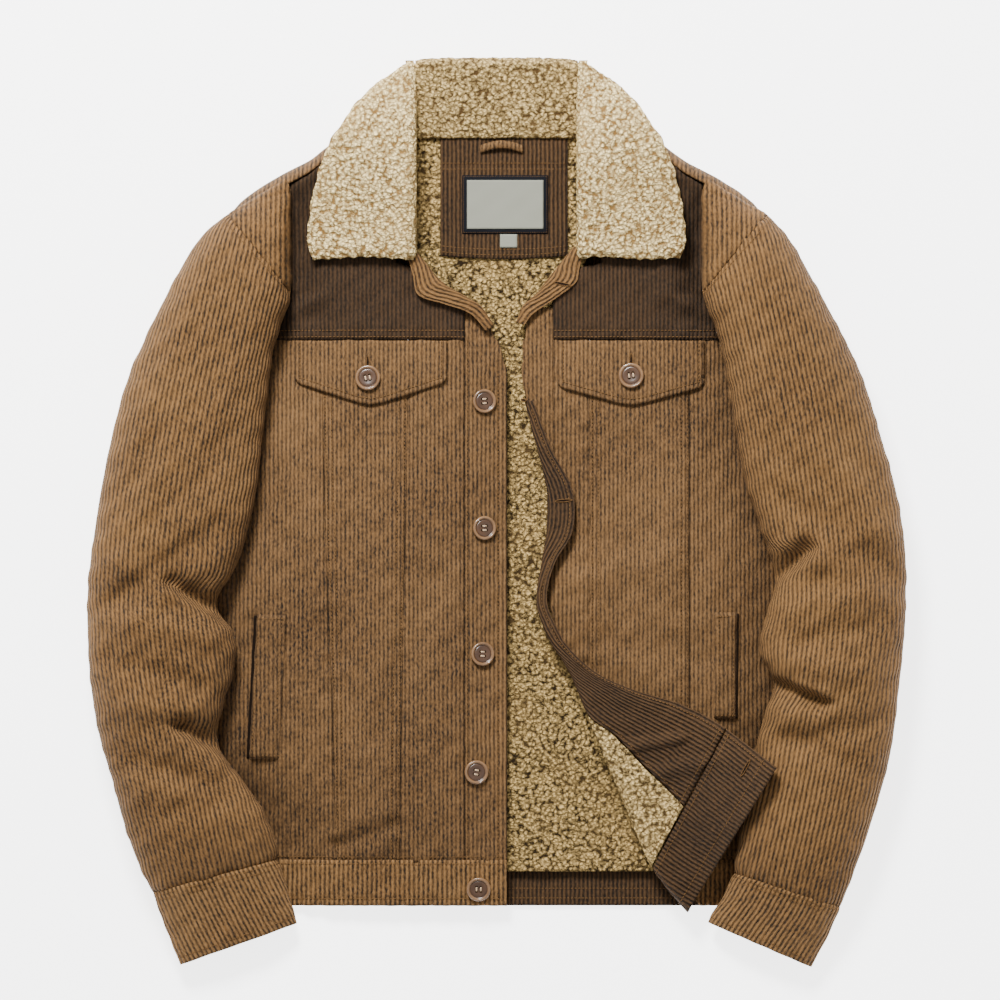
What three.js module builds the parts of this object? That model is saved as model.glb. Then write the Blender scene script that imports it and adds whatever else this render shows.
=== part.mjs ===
// A man's waist-length corduroy jacket with a sherpa lining, laid on its back with the fronts open.
// Millimetres. X runs across the body, +Y towards the collar, Z up from the surface it lies on.
// The left side is the left side as seen from above. Every piece of cloth is a closed wall.

import * as THREE from 'three';

// Cloth and its layers
const CLOTH = 2.2; // corduroy with its backing
const FACING = 1.8;
const PILE = 6.2; // sherpa lining
const COLLAR_PILE = 7;
const GAP = 0.3; // between neighbouring pieces at a seam
const WAISTBAND = 3;
const LINING_TOP = WAISTBAND + 0.6 + PILE;
const FRONT_EDGE_Z = 20; // top of a front at its free edge
const SIDE_SEAM_Z = 2 * CLOTH + GAP;

// Heights along the body, all in Y
const YOKE_SEAM_Y = 153;
const WAIST_SEAM_Y = -301.5;
const HEM_Y = -343;
const NECK_SEAM_Y = 328;

// Materials
const corduroy = new THREE.MeshStandardMaterial({ color: 0x82623e, roughness: 0.85, metalness: 0 });
const facingCloth = new THREE.MeshStandardMaterial({ color: 0x8e6c45, roughness: 0.85, metalness: 0 });
const sherpa = new THREE.MeshStandardMaterial({ color: 0xc8b48c, roughness: 0.95, metalness: 0 });
const buttonHorn = new THREE.MeshStandardMaterial({ color: 0x6a4a30, roughness: 0.25, metalness: 0 });
const labelCloth = new THREE.MeshStandardMaterial({ color: 0xb9bcb0, roughness: 0.8, metalness: 0 });

const jacket = new THREE.Group();
jacket.name = 'corduroy_jacket';

function addPiece(name, geometry, material) {
  const mesh = new THREE.Mesh(geometry, material);
  mesh.name = name;
  jacket.add(mesh);
  return mesh;
}

const mix = (a, b, t) => a + (b - a) * t;

function smooth(t) {
  const c = Math.min(Math.max(t, 0), 1);
  return c * c * (3 - 2 * c);
}

// A smooth curve through [position, value] points, straight past its ends
function curve(points) {
  const last = points.length - 1;
  const slopes = points.map((point, i) => {
    const before = points[Math.max(i - 1, 0)];
    const after = points[Math.min(i + 1, last)];
    return (after[1] - before[1]) / (after[0] - before[0]);
  });
  return (t) => {
    if (t <= points[0][0]) return points[0][1] + slopes[0] * (t - points[0][0]);
    if (t >= points[last][0]) return points[last][1] + slopes[last] * (t - points[last][0]);
    const i = points.findIndex((point) => point[0] > t) - 1;
    const span = points[i + 1][0] - points[i][0];
    const k = (t - points[i][0]) / span;
    return points[i][1] * (1 + 2 * k) * (1 - k) ** 2 + slopes[i] * span * k * (1 - k) ** 2
      + points[i + 1][1] * k * k * (3 - 2 * k) - slopes[i + 1] * span * k * k * (1 - k);
  };
}

// The same, level past its ends
function levelCurve(points) {
  const inner = curve(points);
  const first = points[0][0];
  const last = points[points.length - 1][0];
  return (t) => inner(Math.min(Math.max(t, first), last));
}

// A table with named columns, a row for each section. at(v) gives every column at 0..1 along the rows.
function sections(names, rows) {
  const places = [0];
  for (let i = 1; i < rows.length; i += 1) {
    const step = Math.hypot(rows[i][0] - rows[i - 1][0], rows[i][1] - rows[i - 1][1])
      + Math.hypot(rows[i][2] - rows[i - 1][2], rows[i][3] - rows[i - 1][3]);
    places.push(places[i - 1] + step);
  }
  const total = places[places.length - 1];
  const shares = places.map((place) => place / total);
  const curves = names.map((name, column) => curve(rows.map((row, i) => [shares[i], row[column]])));
  return {
    shares,
    at: (v) => Object.fromEntries(names.map((name, column) => [name, curves[column](v)])),
  };
}

// A closed wall whose outer face is point(u, v), u and v from 0 to 1. The face looks along du x dv,
// or against it where turned is true, and the wall lies behind it.
function wall(point, uSteps, vSteps, thickness, turned = false) {
  const positions = [];
  const delta = 2e-3;
  const across = uSteps + 1;
  const count = across * (vSteps + 1);
  const inner = [];
  for (let j = 0; j <= vSteps; j += 1) {
    for (let i = 0; i <= uSteps; i += 1) {
      const u = i / uSteps;
      const v = j / vSteps;
      const alongU = point(u + delta, v).sub(point(u - delta, v));
      const alongV = point(u, v + delta).sub(point(u, v - delta));
      const normal = alongU.cross(alongV).normalize().multiplyScalar(turned ? -1 : 1);
      const outer = point(u, v);
      positions.push(outer.x, outer.y, outer.z);
      const depth = typeof thickness === 'function' ? thickness(u, v) : thickness;
      inner.push(outer.addScaledVector(normal, -depth));
    }
  }
  inner.forEach((place) => positions.push(place.x, place.y, Math.max(place.z, 0)));
  const faces = [];
  const quad = (a, b, c, d) => faces.push(...(turned ? [a, c, b, a, d, c] : [a, b, c, a, c, d]));
  for (let j = 0; j < vSteps; j += 1) {
    for (let i = 0; i < uSteps; i += 1) {
      const k = j * across + i;
      quad(k, k + 1, k + across + 1, k + across);
      quad(k + count, k + count + across, k + count + across + 1, k + count + 1);
    }
  }
  for (let i = 0; i < uSteps; i += 1) {
    const top = vSteps * across + i;
    quad(i + 1, i, i + count, i + count + 1);
    quad(top, top + 1, top + count + 1, top + count);
  }
  for (let j = 0; j < vSteps; j += 1) {
    const left = j * across;
    const right = left + uSteps;
    quad(left, left + across, left + across + count, left + count);
    quad(right + across, right, right + count, right + across + count);
  }
  const geometry = new THREE.BufferGeometry();
  geometry.setAttribute('position', new THREE.Float32BufferAttribute(positions, 3));
  geometry.setIndex(faces);
  return geometry;
}

// Body outline: the side seams, seen from above, as distances from the middle by Y
const sideSeam = {
  left: curve([[-343, 187], [-302, 199], [-267, 213], [-250, 224], [-233, 238], [-209, 251], [-163, 252],
    [-120, 249], [-82, 253], [-41, 245], [-6, 236], [28, 230], [63, 225], [98, 221], [153, 210]]),
  right: curve([[-343, 198], [-302, 216], [-276, 224], [-243, 231], [-207, 238], [-180, 249], [-150, 252],
    [-120, 249], [-58, 252], [-24, 248], [28, 236], [63, 226], [98, 221], [153, 210]]),
};

// Fronts. Each has a table of its fold or free edge by Y, as a distance from the middle, positive to its
// own side.
const freeEdge = {
  left: levelCurve([[-343, -7], [-300, -9], [100, -9], [122, -9], [141, -5.7], [163, 2], [180, 14],
    [191, 32], [202, 49], [213, 64], [219, 84], [316, 84]]),
  right: levelCurve([[-343, 175], [-309, 146], [-251, 120], [-208, 102], [-163, 83], [-135, 70], [-115, 56],
    [-95, 47], [-75, 42], [-45, 45], [-19, 49], [24, 49], [56, 42], [84, 29], [98, 23], [122, 19], [166, 19],
    [180, 24], [189, 35], [204, 46], [213, 62], [219, 84], [316, 84]]),
};
const crown = {
  left: levelCurve([[-343, 14], [-302, 20], [-250, 28], [-150, 35], [0, 37], [100, 34], [153, 31],
    [316, 30]]),
  right: levelCurve([[-343, 13], [-302, 15], [-260, 20], [-210, 24], [-160, 29], [-100, 34], [0, 36],
    [100, 34], [153, 31], [316, 30]]),
};
// Rise of the cloth from the side seam, by the distance from it, and beside the fold at the sleeve head
const sideRise = levelCurve([[0, 0], [6, 0.03], [12, 0.12], [22, 0.4], [40, 0.72], [70, 0.95], [110, 1]]);
const SHOULDER_FOLD_X = 179.5;
const foldRise = (distance) => smooth(distance / 30);
const outerEdge = {
  left: (y) => yokeOuter(y, sideSeam.left),
  right: (y) => yokeOuter(y, sideSeam.right),
};
const yokeOuterTable = levelCurve([[153, 210], [165, 203], [178, 194], [187, 184], [192, 179.5],
  [310, 179.5]]);

function yokeOuter(y, seam) {
  return y > YOKE_SEAM_Y ? yokeOuterTable(y) : seam(y);
}

const outerEdgeZ = levelCurve([[153, SIDE_SEAM_Z], [178, 8], [187, 11], [194, 14], [230, 16], [260, 22],
  [290, 34]]);
const EDGE_FALL_WIDTH = 42;
const SHOULDER_SEAM_Z = 36;

// Creases of the body: a soft trough or ridge along a line, with its height and half width
const bodyCreases = {
  left: [
    { from: [-140, -296], to: [-90, -268], height: -3, width: 9 },
    { from: [-100, -290], to: [-120, -215], height: 2.5, width: 14 },
    { from: [-190, 60], to: [-150, -80], height: 2.5, width: 16 },
    { from: [-60, -60], to: [-95, -190], height: -2, width: 18 },
  ],
  right: [
    { from: [70, -60], to: [150, -40], height: 2.5, width: 14 },
    { from: [95, -110], to: [190, -125], height: -2.5, width: 14 },
    { from: [175, 70], to: [150, -60], height: 2.5, width: 18 },
  ],
};

function creaseHeight(creases, x, y) {
  return creases.reduce((sum, crease) => {
    const [ax, ay] = crease.from;
    const [bx, by] = crease.to;
    const length = Math.hypot(bx - ax, by - ay);
    const along = ((x - ax) * (bx - ax) + (y - ay) * (by - ay)) / (length * length);
    const off = ((x - ax) * (by - ay) - (y - ay) * (bx - ax)) / length;
    const past = Math.max(0, -along, along - 1) * length;
    return sum + crease.height * Math.exp(-((off / crease.width) ** 2) - ((past / crease.width) ** 2));
  }, 0);
}

// Height of a front's outer face above the surface, at x and y
function frontHeight(side, x, y) {
  const sign = side === 'left' ? -1 : 1;
  const outward = x * sign;
  const outer = outerEdge[side](y);
  const low = outerEdgeZ(y);
  const top = crown[side](y);
  const distance = outer - outward;
  const rise = mix(sideRise(distance), foldRise(distance), smooth((y - 165) / 25));
  const inward = outward - freeEdge[side](y);
  const fall = Math.exp(-((Math.max(inward, 0) / EDGE_FALL_WIDTH) ** 1.4)) * smooth((205 - y) / 40);
  const edgeZ = Math.min(FRONT_EDGE_Z, top);
  const seamRise = (SHOULDER_SEAM_Z - top) * Math.exp(-(Math.max(shoulderSeamY(outward) - y, 0) / 14));
  const creases = creaseHeight(bodyCreases[side], x, y) * rise;
  return low + (top - low) * rise - (top - edgeZ) * fall * rise + creases
    + Math.max(seamRise, 0) * smooth((y - 215) / 40) * rise;
}

// Shoulder outline at the top of the back, and the shoulder seam in front of it
const topOutline = levelCurve([[0, 327], [71, 328], [120, 326], [145, 321], [165, 307], [197, 290],
  [224, 272], [235, 260]]);
const shoulderRoll = levelCurve([[0, 10], [80, 12], [120, 30], [145, SHOULDER_SEAM_Z], [212, SHOULDER_SEAM_Z],
  [226, 28], [235, 22]]);
const ROLL_DEPTH = 0.35; // depth in Y of the rolled shoulder, as a share of its height

function shoulderSeamY(outward) {
  return topOutline(outward) - 0.9 * ROLL_DEPTH * shoulderRoll(outward);
}

// A front piece between two lines across and two along, lifted off the front's face where it lies on it
function frontPiece(name, side, lines, steps, options = {}) {
  const { lift = 0, thickness = CLOTH, material = corduroy } = options;
  const sign = side === 'left' ? -1 : 1;
  const point = (u, v) => {
    const share = side === 'left' ? u : 1 - u;
    const topInner = lines.topInner ?? lines.top;
    const yOuter = mix(lines.bottom, lines.top, v);
    const yInner = mix(lines.bottom, topInner, v);
    const outward = mix(lines.outer(yOuter), lines.inner(yInner), share);
    const bow = lines.topLine ? v * (lines.topLine(outward) - mix(lines.top, topInner, share)) : 0;
    const y = mix(yOuter, yInner, share) + bow + (lines.bow ? lines.bow(share, v) : 0);
    return new THREE.Vector3(outward * sign, y, frontHeight(side, outward * sign, y) + lift);
  };
  addPiece(name, wall(point, steps[0], steps[1], thickness), material);
}

const seamLine = {
  outer: { left: (y) => mix(140.5, 152, smooth((y + 302) / 455)), right: () => 168 },
  inner: { left: (y) => mix(84, 77, smooth((y + 302) / 455)), right: () => 81 },
  placket: { left: () => 27.4, right: () => 49 },
};
const shifted = (line, shift) => (y) => line(y) + shift;
const SHOULDER_SEAM_GAP = 3;
const FOLD_CLEARANCE = 3; // between a front's edge and the fold of its facing

function buildFront(side) {
  const seam = seamLine;
  const half = GAP / 2;
  const low = WAIST_SEAM_Y + half;
  const high = YOKE_SEAM_Y - half;
  const edge = side === 'left' ? shifted(freeEdge.left, 0) : shifted(freeEdge.right, FOLD_CLEARANCE);
  const atFold = (line) => (y) => Math.max(line(y) + half, edge(y));
  frontPiece(`front_side_${side}`, side, {
    outer: outerEdge[side], inner: shifted(seam.outer[side], half), bottom: low, top: high,
  }, [6, 14]);
  const midBottom = side === 'left' ? low : -285;
  frontPiece(`front_mid_${side}`, side, {
    outer: shifted(seam.outer[side], -half), inner: atFold(seam.inner[side]), bottom: midBottom, top: high,
  }, [4, 14]);
  const centreBottom = side === 'left' ? low : -128;
  frontPiece(`front_centre_${side}`, side, {
    outer: shifted(seam.inner[side], -half), inner: atFold(seam.placket[side]),
    bottom: centreBottom, top: high,
  }, [3, 14]);
  const underLapel = (y) => (y > 130 ? 1.5 : 0) + (y > 150 ? 2.5 : 0); // stays clear of the turned lapel
  frontPiece(`placket_${side}`, side, {
    outer: shifted(seam.placket[side], -half), inner: (y) => edge(y) + underLapel(y),
    bottom: side === 'left' ? low : 68, top: side === 'left' ? 175 : 178,
  }, [2, side === 'left' ? 14 : 5], { thickness: 2 * CLOTH });
  const yokeInner = (y) => Math.max(edge(y) + FOLD_CLEARANCE + 1, seam.placket[side](y) + half);
  frontPiece(`front_yoke_${side}`, side, {
    outer: outerEdge[side], inner: yokeInner, bottom: YOKE_SEAM_Y + 0.4,
    top: shoulderSeamY(SHOULDER_FOLD_X), topInner: shoulderSeamY(84),
    topLine: (outward) => shoulderSeamY(outward) - SHOULDER_SEAM_GAP,
  }, [8, 9]);
}

// Waistband of each front, a little proud of the panels above it
const WAISTBAND_LIFT = 1.5;
const WAISTBAND_TOP_Y = WAIST_SEAM_Y - 0.6;

function buildWaistbands() {
  frontPiece('waistband_left', 'left', {
    outer: (y) => sideSeam.left(y), inner: () => -9, bottom: HEM_Y, top: WAISTBAND_TOP_Y,
  }, [10, 2], { thickness: WAISTBAND, lift: WAISTBAND_LIFT });
  frontPiece('waistband_right', 'right', {
    outer: (y) => sideSeam.right(y), inner: (y) => freeEdge.right(y) + FOLD_CLEARANCE,
    bottom: HEM_Y, top: WAISTBAND_TOP_Y,
  }, [4, 2], { thickness: WAISTBAND, lift: WAISTBAND_LIFT });
}

// Pocket flaps hang from the yoke seam, straight at the sides and pointed at the middle
const FLAP_LIFT = 3.8;
const flaps = {
  left: { outer: 176, inner: 43, side: 117, point: 96 },
  right: { outer: 181, inner: 53, side: 112, point: 95 },
};

function buildFlap(side) {
  const flap = flaps[side];
  frontPiece(`pocket_flap_${side}`, side, {
    outer: () => flap.outer, inner: () => flap.inner, bottom: flap.side, top: YOKE_SEAM_Y - 1,
    bow: (share, v) => {
      const corner = Math.max(0, Math.abs(2 * share - 1) - 0.9) * 60;
      return (1 - v) * (corner - (flap.side - flap.point) * smooth(1 - Math.abs(2 * share - 1)));
    },
  }, [12, 3], { lift: FLAP_LIFT, thickness: 2.6 });
}

// Welt pockets at the side panels
const WELT_LIFT = 3.4;
const welts = {
  left: { outer: [217, 210], inner: [190, 183], bottom: -215, top: -89 },
  right: { outer: [209, 210], inner: [189, 190], bottom: -180, top: -87 },
};

function buildWelt(side) {
  const welt = welts[side];
  const lean = (ends) => (y) => mix(ends[0], ends[1], (y - welt.bottom) / (welt.top - welt.bottom));
  frontPiece(`pocket_welt_${side}`, side, {
    outer: lean(welt.outer), inner: lean(welt.inner), bottom: welt.bottom, top: welt.top,
  }, [2, 6], { lift: WELT_LIFT, thickness: 2.1 });
}

// Back: panel, waistband and a yoke that rolls over the shoulders to the shoulder seams
function flatPiece(name, outline, base, thickness, steps, material = corduroy) {
  const point = (u, v) => {
    const y = mix(outline.bottom, outline.top, v);
    return new THREE.Vector3(mix(outline.left(y), outline.right(y), u), y, base + thickness);
  };
  addPiece(name, wall(point, steps[0], steps[1], thickness), material);
}

const yokeHalfWidth = levelCurve([[153, 210], [175, 204], [197, 196], [206, 191], [212, 193], [225, 204],
  [247, 223], [259, 232]]);

function buildBack() {
  flatPiece('back_panel', {
    left: (y) => -sideSeam.left(y), right: (y) => sideSeam.right(y),
    bottom: WAIST_SEAM_Y + GAP / 2, top: YOKE_SEAM_Y - GAP / 2,
  }, 0, CLOTH, [2, 16]);
  flatPiece('back_waistband', {
    left: (y) => -sideSeam.left(y), right: (y) => sideSeam.right(y),
    bottom: HEM_Y, top: WAIST_SEAM_Y - GAP / 2,
  }, 0, WAISTBAND, [2, 2]);
  const FLAT_SHARE = 0.6;
  const ROLL_END = 80; // degrees above level, where the roll meets the front
  const point = (u, v) => {
    const outward = Math.abs(2 * u - 1) * 235;
    const height = shoulderRoll(outward);
    const radius = height / 2;
    const depth = ROLL_DEPTH * height;
    const flatEnd = topOutline(outward) - depth;
    if (v < FLAT_SHARE) {
      const y = mix(YOKE_SEAM_Y + GAP / 2, flatEnd, v / FLAT_SHARE);
      return new THREE.Vector3((2 * u - 1) * yokeHalfWidth(y), y, 0);
    }
    const angle = THREE.MathUtils.degToRad(mix(-90, ROLL_END, (v - FLAT_SHARE) / (1 - FLAT_SHARE)));
    const y = flatEnd + depth * Math.cos(angle);
    return new THREE.Vector3((2 * u - 1) * yokeHalfWidth(y), y, radius + radius * Math.sin(angle));
  };
  addPiece('back_yoke', wall(point, 26, 10, CLOTH, true), corduroy);
}

// Lining of the back as far as the open front shows it, and what lies on it at the neck
function buildNeck() {
  const liningLeft = levelCurve([[-313, -40], [100, -40], [200, -72], [220, -76], [322, -72]]);
  const liningRight = levelCurve([[-313, 160], [-251, 135], [-163, 105], [-100, 70], [0, 72], [98, 55],
    [170, 50], [220, 78], [322, 72]]);
  const pile = (u, v) => {
    const y = mix(-313, 322, v);
    const uneven = 0.3 * Math.sin(v * 40) * Math.sin(u * 9);
    return new THREE.Vector3(mix(liningLeft(y), liningRight(y), u), y, LINING_TOP + uneven);
  };
  addPiece('back_lining', wall(pile, 4, 20, PILE), sherpa);
  const facingBase = LINING_TOP + 0.8;
  const rectangle = (left, right, bottom, top) => ({ left: () => left, right: () => right, bottom, top });
  flatPiece('neck_facing', rectangle(-49, 62, 221, 321), facingBase, FACING, [2, 2], facingCloth);
  const labelBase = facingBase + FACING + GAP;
  flatPiece('neck_label', rectangle(-30, 45, 243, 294), labelBase, 0.8, [2, 2], labelCloth);
  flatPiece('size_tag', rectangle(3, 18, 231, 242.6), labelBase, 0.6, [1, 1], labelCloth);
  const loop = (u, v) => {
    const arch = Math.sin(Math.PI * u);
    const z = labelBase + 2 + 3 * arch + 1.2 * Math.sin(Math.PI * v);
    return new THREE.Vector3(mix(-14, 23, u), mix(313, 320.5, v) + 4 * arch, z);
  };
  addPiece('hanger_loop', wall(loop, 6, 3, 2), corduroy);
}

// Sherpa collar: the back lies folded over itself, the leaves come forward over the shoulders
const COLLAR_ROLL_X = 70;
const COLLAR_TOP_Y = 396.5;
const leafRows = [
  [80, 392, 70, 389, 25, 17], [104, 376, 70, 364, 33, 24], [121, 359, 70, 342, 43, 36],
  [133, 341, 70, 320, 50, 46], [144, 324, 70, 300, 52, 49], [153, 302, 70, 280, 51, 47],
  [160, 276, 70, 258, 48, 43], [164, 250, 70, 240, 46, 41], [164, 229, 70, 227, 45, 41],
  [159, 220, 70, 220, 44, 41],
];
const leaf = sections(['outerX', 'outerY', 'rollX', 'rollY', 'topZ', 'outerZ'], leafRows);

function buildCollar() {
  const ROLL_Z = 11;
  const ROLL_Y = 8;
  const back = (u, v) => {
    let y;
    let z;
    if (v < 0.4) {
      y = mix(NECK_SEAM_Y + 1, COLLAR_TOP_Y - ROLL_Y, v / 0.4);
      z = mix(17, 2 * ROLL_Z, v / 0.4);
    } else if (v < 0.65) {
      const angle = THREE.MathUtils.degToRad(mix(90, -90, (v - 0.4) / 0.25));
      y = COLLAR_TOP_Y - ROLL_Y + ROLL_Y * Math.cos(angle);
      z = ROLL_Z + ROLL_Z * Math.sin(angle);
    } else {
      y = mix(COLLAR_TOP_Y - ROLL_Y, NECK_SEAM_Y + 8, (v - 0.65) / 0.35);
      z = 0;
    }
    const halfWidth = COLLAR_ROLL_X - 0.5;
    return new THREE.Vector3(mix(-halfWidth, halfWidth, u), y, z);
  };
  addPiece('collar_back', wall(back, 4, 16, COLLAR_PILE), sherpa);
  const ROLL = 9;
  const ROLL_SHARE = 0.62;
  const DROP_SHARE = 0.82;
  ['left', 'right'].forEach((side) => {
    const sign = side === 'left' ? -1 : 1;
    const surface = (u, v) => {
      const row = leaf.at(v);
      const bottomZ = 17 + 4 * v;
      let outward;
      let y;
      let z;
      if (u < ROLL_SHARE) {
        const k = u / ROLL_SHARE;
        outward = mix(row.outerX, row.rollX + ROLL, k);
        y = mix(row.outerY, row.rollY, k);
        z = mix(row.outerZ, row.topZ, Math.sin(k * Math.PI / 2));
      } else if (u < DROP_SHARE) {
        const angle = (Math.PI / 2) * (u - ROLL_SHARE) / (DROP_SHARE - ROLL_SHARE);
        const fall = Math.min(ROLL, row.topZ - bottomZ);
        outward = row.rollX + ROLL - ROLL * Math.sin(angle);
        y = row.rollY;
        z = row.topZ - fall + fall * Math.cos(angle);
      } else {
        outward = row.rollX;
        y = row.rollY;
        z = mix(row.topZ - Math.min(ROLL, row.topZ - bottomZ), bottomZ - 2,
          (u - DROP_SHARE) / (1 - DROP_SHARE));
      }
      return new THREE.Vector3(outward * sign, y, z);
    };
    addPiece(`collar_leaf_${side}`, wall(surface, 10, 12, COLLAR_PILE, side === 'left'), sherpa);
  });
}

// Turned-out edges: the cloth rolls over a fold line and lies back on the front, inside up
const turnNames = ['foldX', 'foldY', 'edgeX', 'edgeY', 'foldZ', 'edgeZ', 'facing'];
const turnRight = sections(turnNames, [
  [24, 98, 32, 97, 27, 29, 0], [35, 56, 48, 54.5, 29, 33, 0], [43, 24, 64, 25, 30, 35, 0],
  [44, 2, 68, 4, 30, 35, 0], [43, -19.5, 65, -19.5, 30, 35, 0], [38.7, -45.5, 51, -43, 30, 34, 0],
  [35, -69, 44, -67.5, 30, 33, 0], [35, -80.5, 44.5, -82, 30, 33, 0], [38.7, -95, 50, -95, 31, 34, 0],
  [48, -115, 61, -115, 32, 36, 0], [61, -135, 86.5, -139, 34, 39, 0], [73.5, -163, 120.5, -154.5, 35, 42, 2],
  [92, -208, 152.7, -164, 36, 42, 18.6], [110, -251, 177, -174.5, 34, 44, 35.2], [135, -309, 199, -187.5, 30, 50, 60.6],
  [166, -348.5, 242, -220.5, 27, 71, 60],
]);
const turnLeftNeck = sections(turnNames, [
  [62, 218, 73, 207, 35, 35, 0], [49, 202, 68, 189, 36, 36.5, 0], [32, 191, 45, 181, 34, 35, 0],
  [14.4, 180.5, 23, 173, 30.5, 32, 0], [2, 163, 9, 158, 28, 29, 0],
]);
const turnRightNeck = sections(turnNames, [
  [57, 219, 72, 212, 34, 34, 0], [46, 205, 69, 200, 33, 34.5, 0], [34, 190, 50, 185, 31, 32.5, 0],
  [23, 180, 32, 173, 28, 29.5, 0], [17, 166, 24, 163, 26, 27, 0],
]);
const TURN_RADIUS = 6;
const ROLL_START = THREE.MathUtils.degToRad(-70);
const NECK_ROLL_START = THREE.MathUtils.degToRad(-10);
turnRight.rollStart = ROLL_START;
turnLeftNeck.rollStart = NECK_ROLL_START;
turnRightNeck.rollStart = NECK_ROLL_START;

// A point on a turned edge: v along the rows, reach in mm across the cloth from where the roll starts
function turnPoint(table, sign, v, reach, sunk) {
  const row = table.at(v);
  const width = Math.hypot(row.edgeX - row.foldX, row.edgeY - row.foldY);
  const dirX = (row.edgeX - row.foldX) / width;
  const dirY = (row.edgeY - row.foldY) / width;
  const radius = Math.min(TURN_RADIUS, 0.42 * width);
  const rollLength = radius * (Math.PI / 2 - table.rollStart);
  let across;
  let z;
  if (reach < rollLength) {
    const angle = table.rollStart + reach / radius;
    across = radius - (radius - sunk) * Math.cos(angle);
    z = row.foldZ - radius + (radius - sunk) * Math.sin(angle);
  } else {
    across = radius + reach - rollLength;
    z = mix(row.foldZ, row.edgeZ, smooth((reach - rollLength) / (width - radius))) - sunk;
  }
  return new THREE.Vector3(sign * (row.foldX + dirX * across), row.foldY + dirY * across, z);
}

function turnLength(table, v) {
  const row = table.at(v);
  const width = Math.hypot(row.edgeX - row.foldX, row.edgeY - row.foldY);
  const radius = Math.min(TURN_RADIUS, 0.42 * width);
  return radius * (Math.PI / 2 - table.rollStart) + width - radius;
}

// A strip of a turned edge between two rows and between two reaches, which are functions of v
function turnStrip(name, table, side, rows, reaches, steps, options = {}) {
  const { thickness = FACING, material = facingCloth, sunk = 0 } = options;
  const sign = side === 'left' ? -1 : 1;
  const point = (u, w) => {
    const v = mix(rows[0], rows[1], w);
    const reach = mix(reaches[0](v), reaches[1](v), u);
    return turnPoint(table, sign, v, reach, sunk);
  };
  addPiece(name, wall(point, steps[0], steps[1], thickness, side === 'right'), material);
}

function buildTurns() {
  const { shares } = turnRight;
  const TURN_START = shares[0];
  const LINING_START = shares[11];
  const WAIST_ROW = shares[14];
  const rowGap = 0.002;
  const facingStart = (v) => {
    const row = turnRight.at(v);
    const rollLength = TURN_RADIUS * (Math.PI / 2 - ROLL_START) - TURN_RADIUS;
    const pastRoll = v > LINING_START ? rollLength * smooth((v - LINING_START) / 0.08) : 0;
    return Math.max(0, row.facing) + pastRoll;
  };
  const whole = (v) => turnLength(turnRight, v);
  turnStrip('facing_right', turnRight, 'right', [TURN_START, WAIST_ROW - rowGap], [facingStart, whole],
    [6, 26]);
  turnStrip('lining_right', turnRight, 'right', [LINING_START + 0.02, WAIST_ROW - rowGap],
    [() => 0, (v) => facingStart(v) - 3.8], [7, 9], { thickness: 3.6, material: sherpa });
  turnStrip('turn_waistband_right', turnRight, 'right', [WAIST_ROW + rowGap, 1], [() => 0, whole], [11, 4]);
  turnStrip('turn_under_right', turnRight, 'right', [LINING_START + 0.03, 1],
    [(v) => turnLength(turnRight, v) * 0.4, whole], [6, 12],
    { thickness: CLOTH, material: corduroy, sunk: 4.2 });
  [['left', turnLeftNeck], ['right', turnRightNeck]].forEach(([side, table]) => {
    const across = [() => 0, (v) => turnLength(table, v)];
    turnStrip(`facing_neck_${side}`, table, side, [0, 1], across, [6, 7]);
  });
}

// Sleeves: rings between an outer and an inner point, flat below and round above
const sleeveNames = ['outerX', 'outerY', 'innerX', 'innerY', 'height'];
const sleeveRows = {
  left: [
    [235, 259, 181.5, 191, 64], [259, 237, 182, 178, 70], [280, 202, 188, 162, 72], [306, 150, 195, 138, 72],
    [321, 115, 198, 112, 72], [335, 63, 204, 63, 72], [344, 19, 209, 19, 72], [350, -20, 217, -18, 72],
    [354, -50, 226, -46, 70], [356, -80, 244, -80, 67], [355.5, -106, 228, -106, 70],
    [354, -136, 228, -136, 71], [351, -163, 235, -160, 70], [344.5, -198, 243, -199, 66],
    [334, -233, 222, -231, 68], [325, -267, 203, -259, 65],
    [313, -302, 193, -283, 57], [300, -330, 190.5, -301, 46],
  ],
  right: [
    [236, 259, 186, 191, 64], [255, 237, 186, 178, 70], [275, 202, 190, 163, 72], [303, 150, 195, 144, 72],
    [319, 115, 201, 115, 72], [335, 63, 209, 63, 72], [347, 20, 218, 20, 72], [354, -20, 231, -18, 72],
    [356, -46, 239, -42, 70], [356, -64, 243, -60, 67], [355.5, -93, 232, -98, 70],
    [353, -124, 229, -122, 69], [349.5, -154, 241, -148, 66], [347, -180, 233, -176, 67],
    [341.5, -215, 225, -207, 62], [332, -250, 219, -240, 60],
    [320, -288, 213, -274, 57], [309, -318, 209, -296, 52], [299.5, -343, 206.5, -313, 46],
  ],
};
const cuffRows = {
  left: [[299.8, -330.8, 190.3, -301.8, 45], [291, -355, 183, -325, 38], [279, -386, 176, -350, 30],
    [275.5, -394, 174, -358, 27]],
  right: [[299.3, -343.8, 206.3, -313.8, 45], [291, -364, 198, -333, 38], [278, -389, 187, -350, 30],
    [274.5, -396.2, 184, -357, 27]],
};
const RING_SQUARENESS = 0.86; // below 1 the ring's sides stand steeper than an ellipse's
const FLAT_FROM = 0.94; // share of the ring's lower half height that is above the flat

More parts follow.
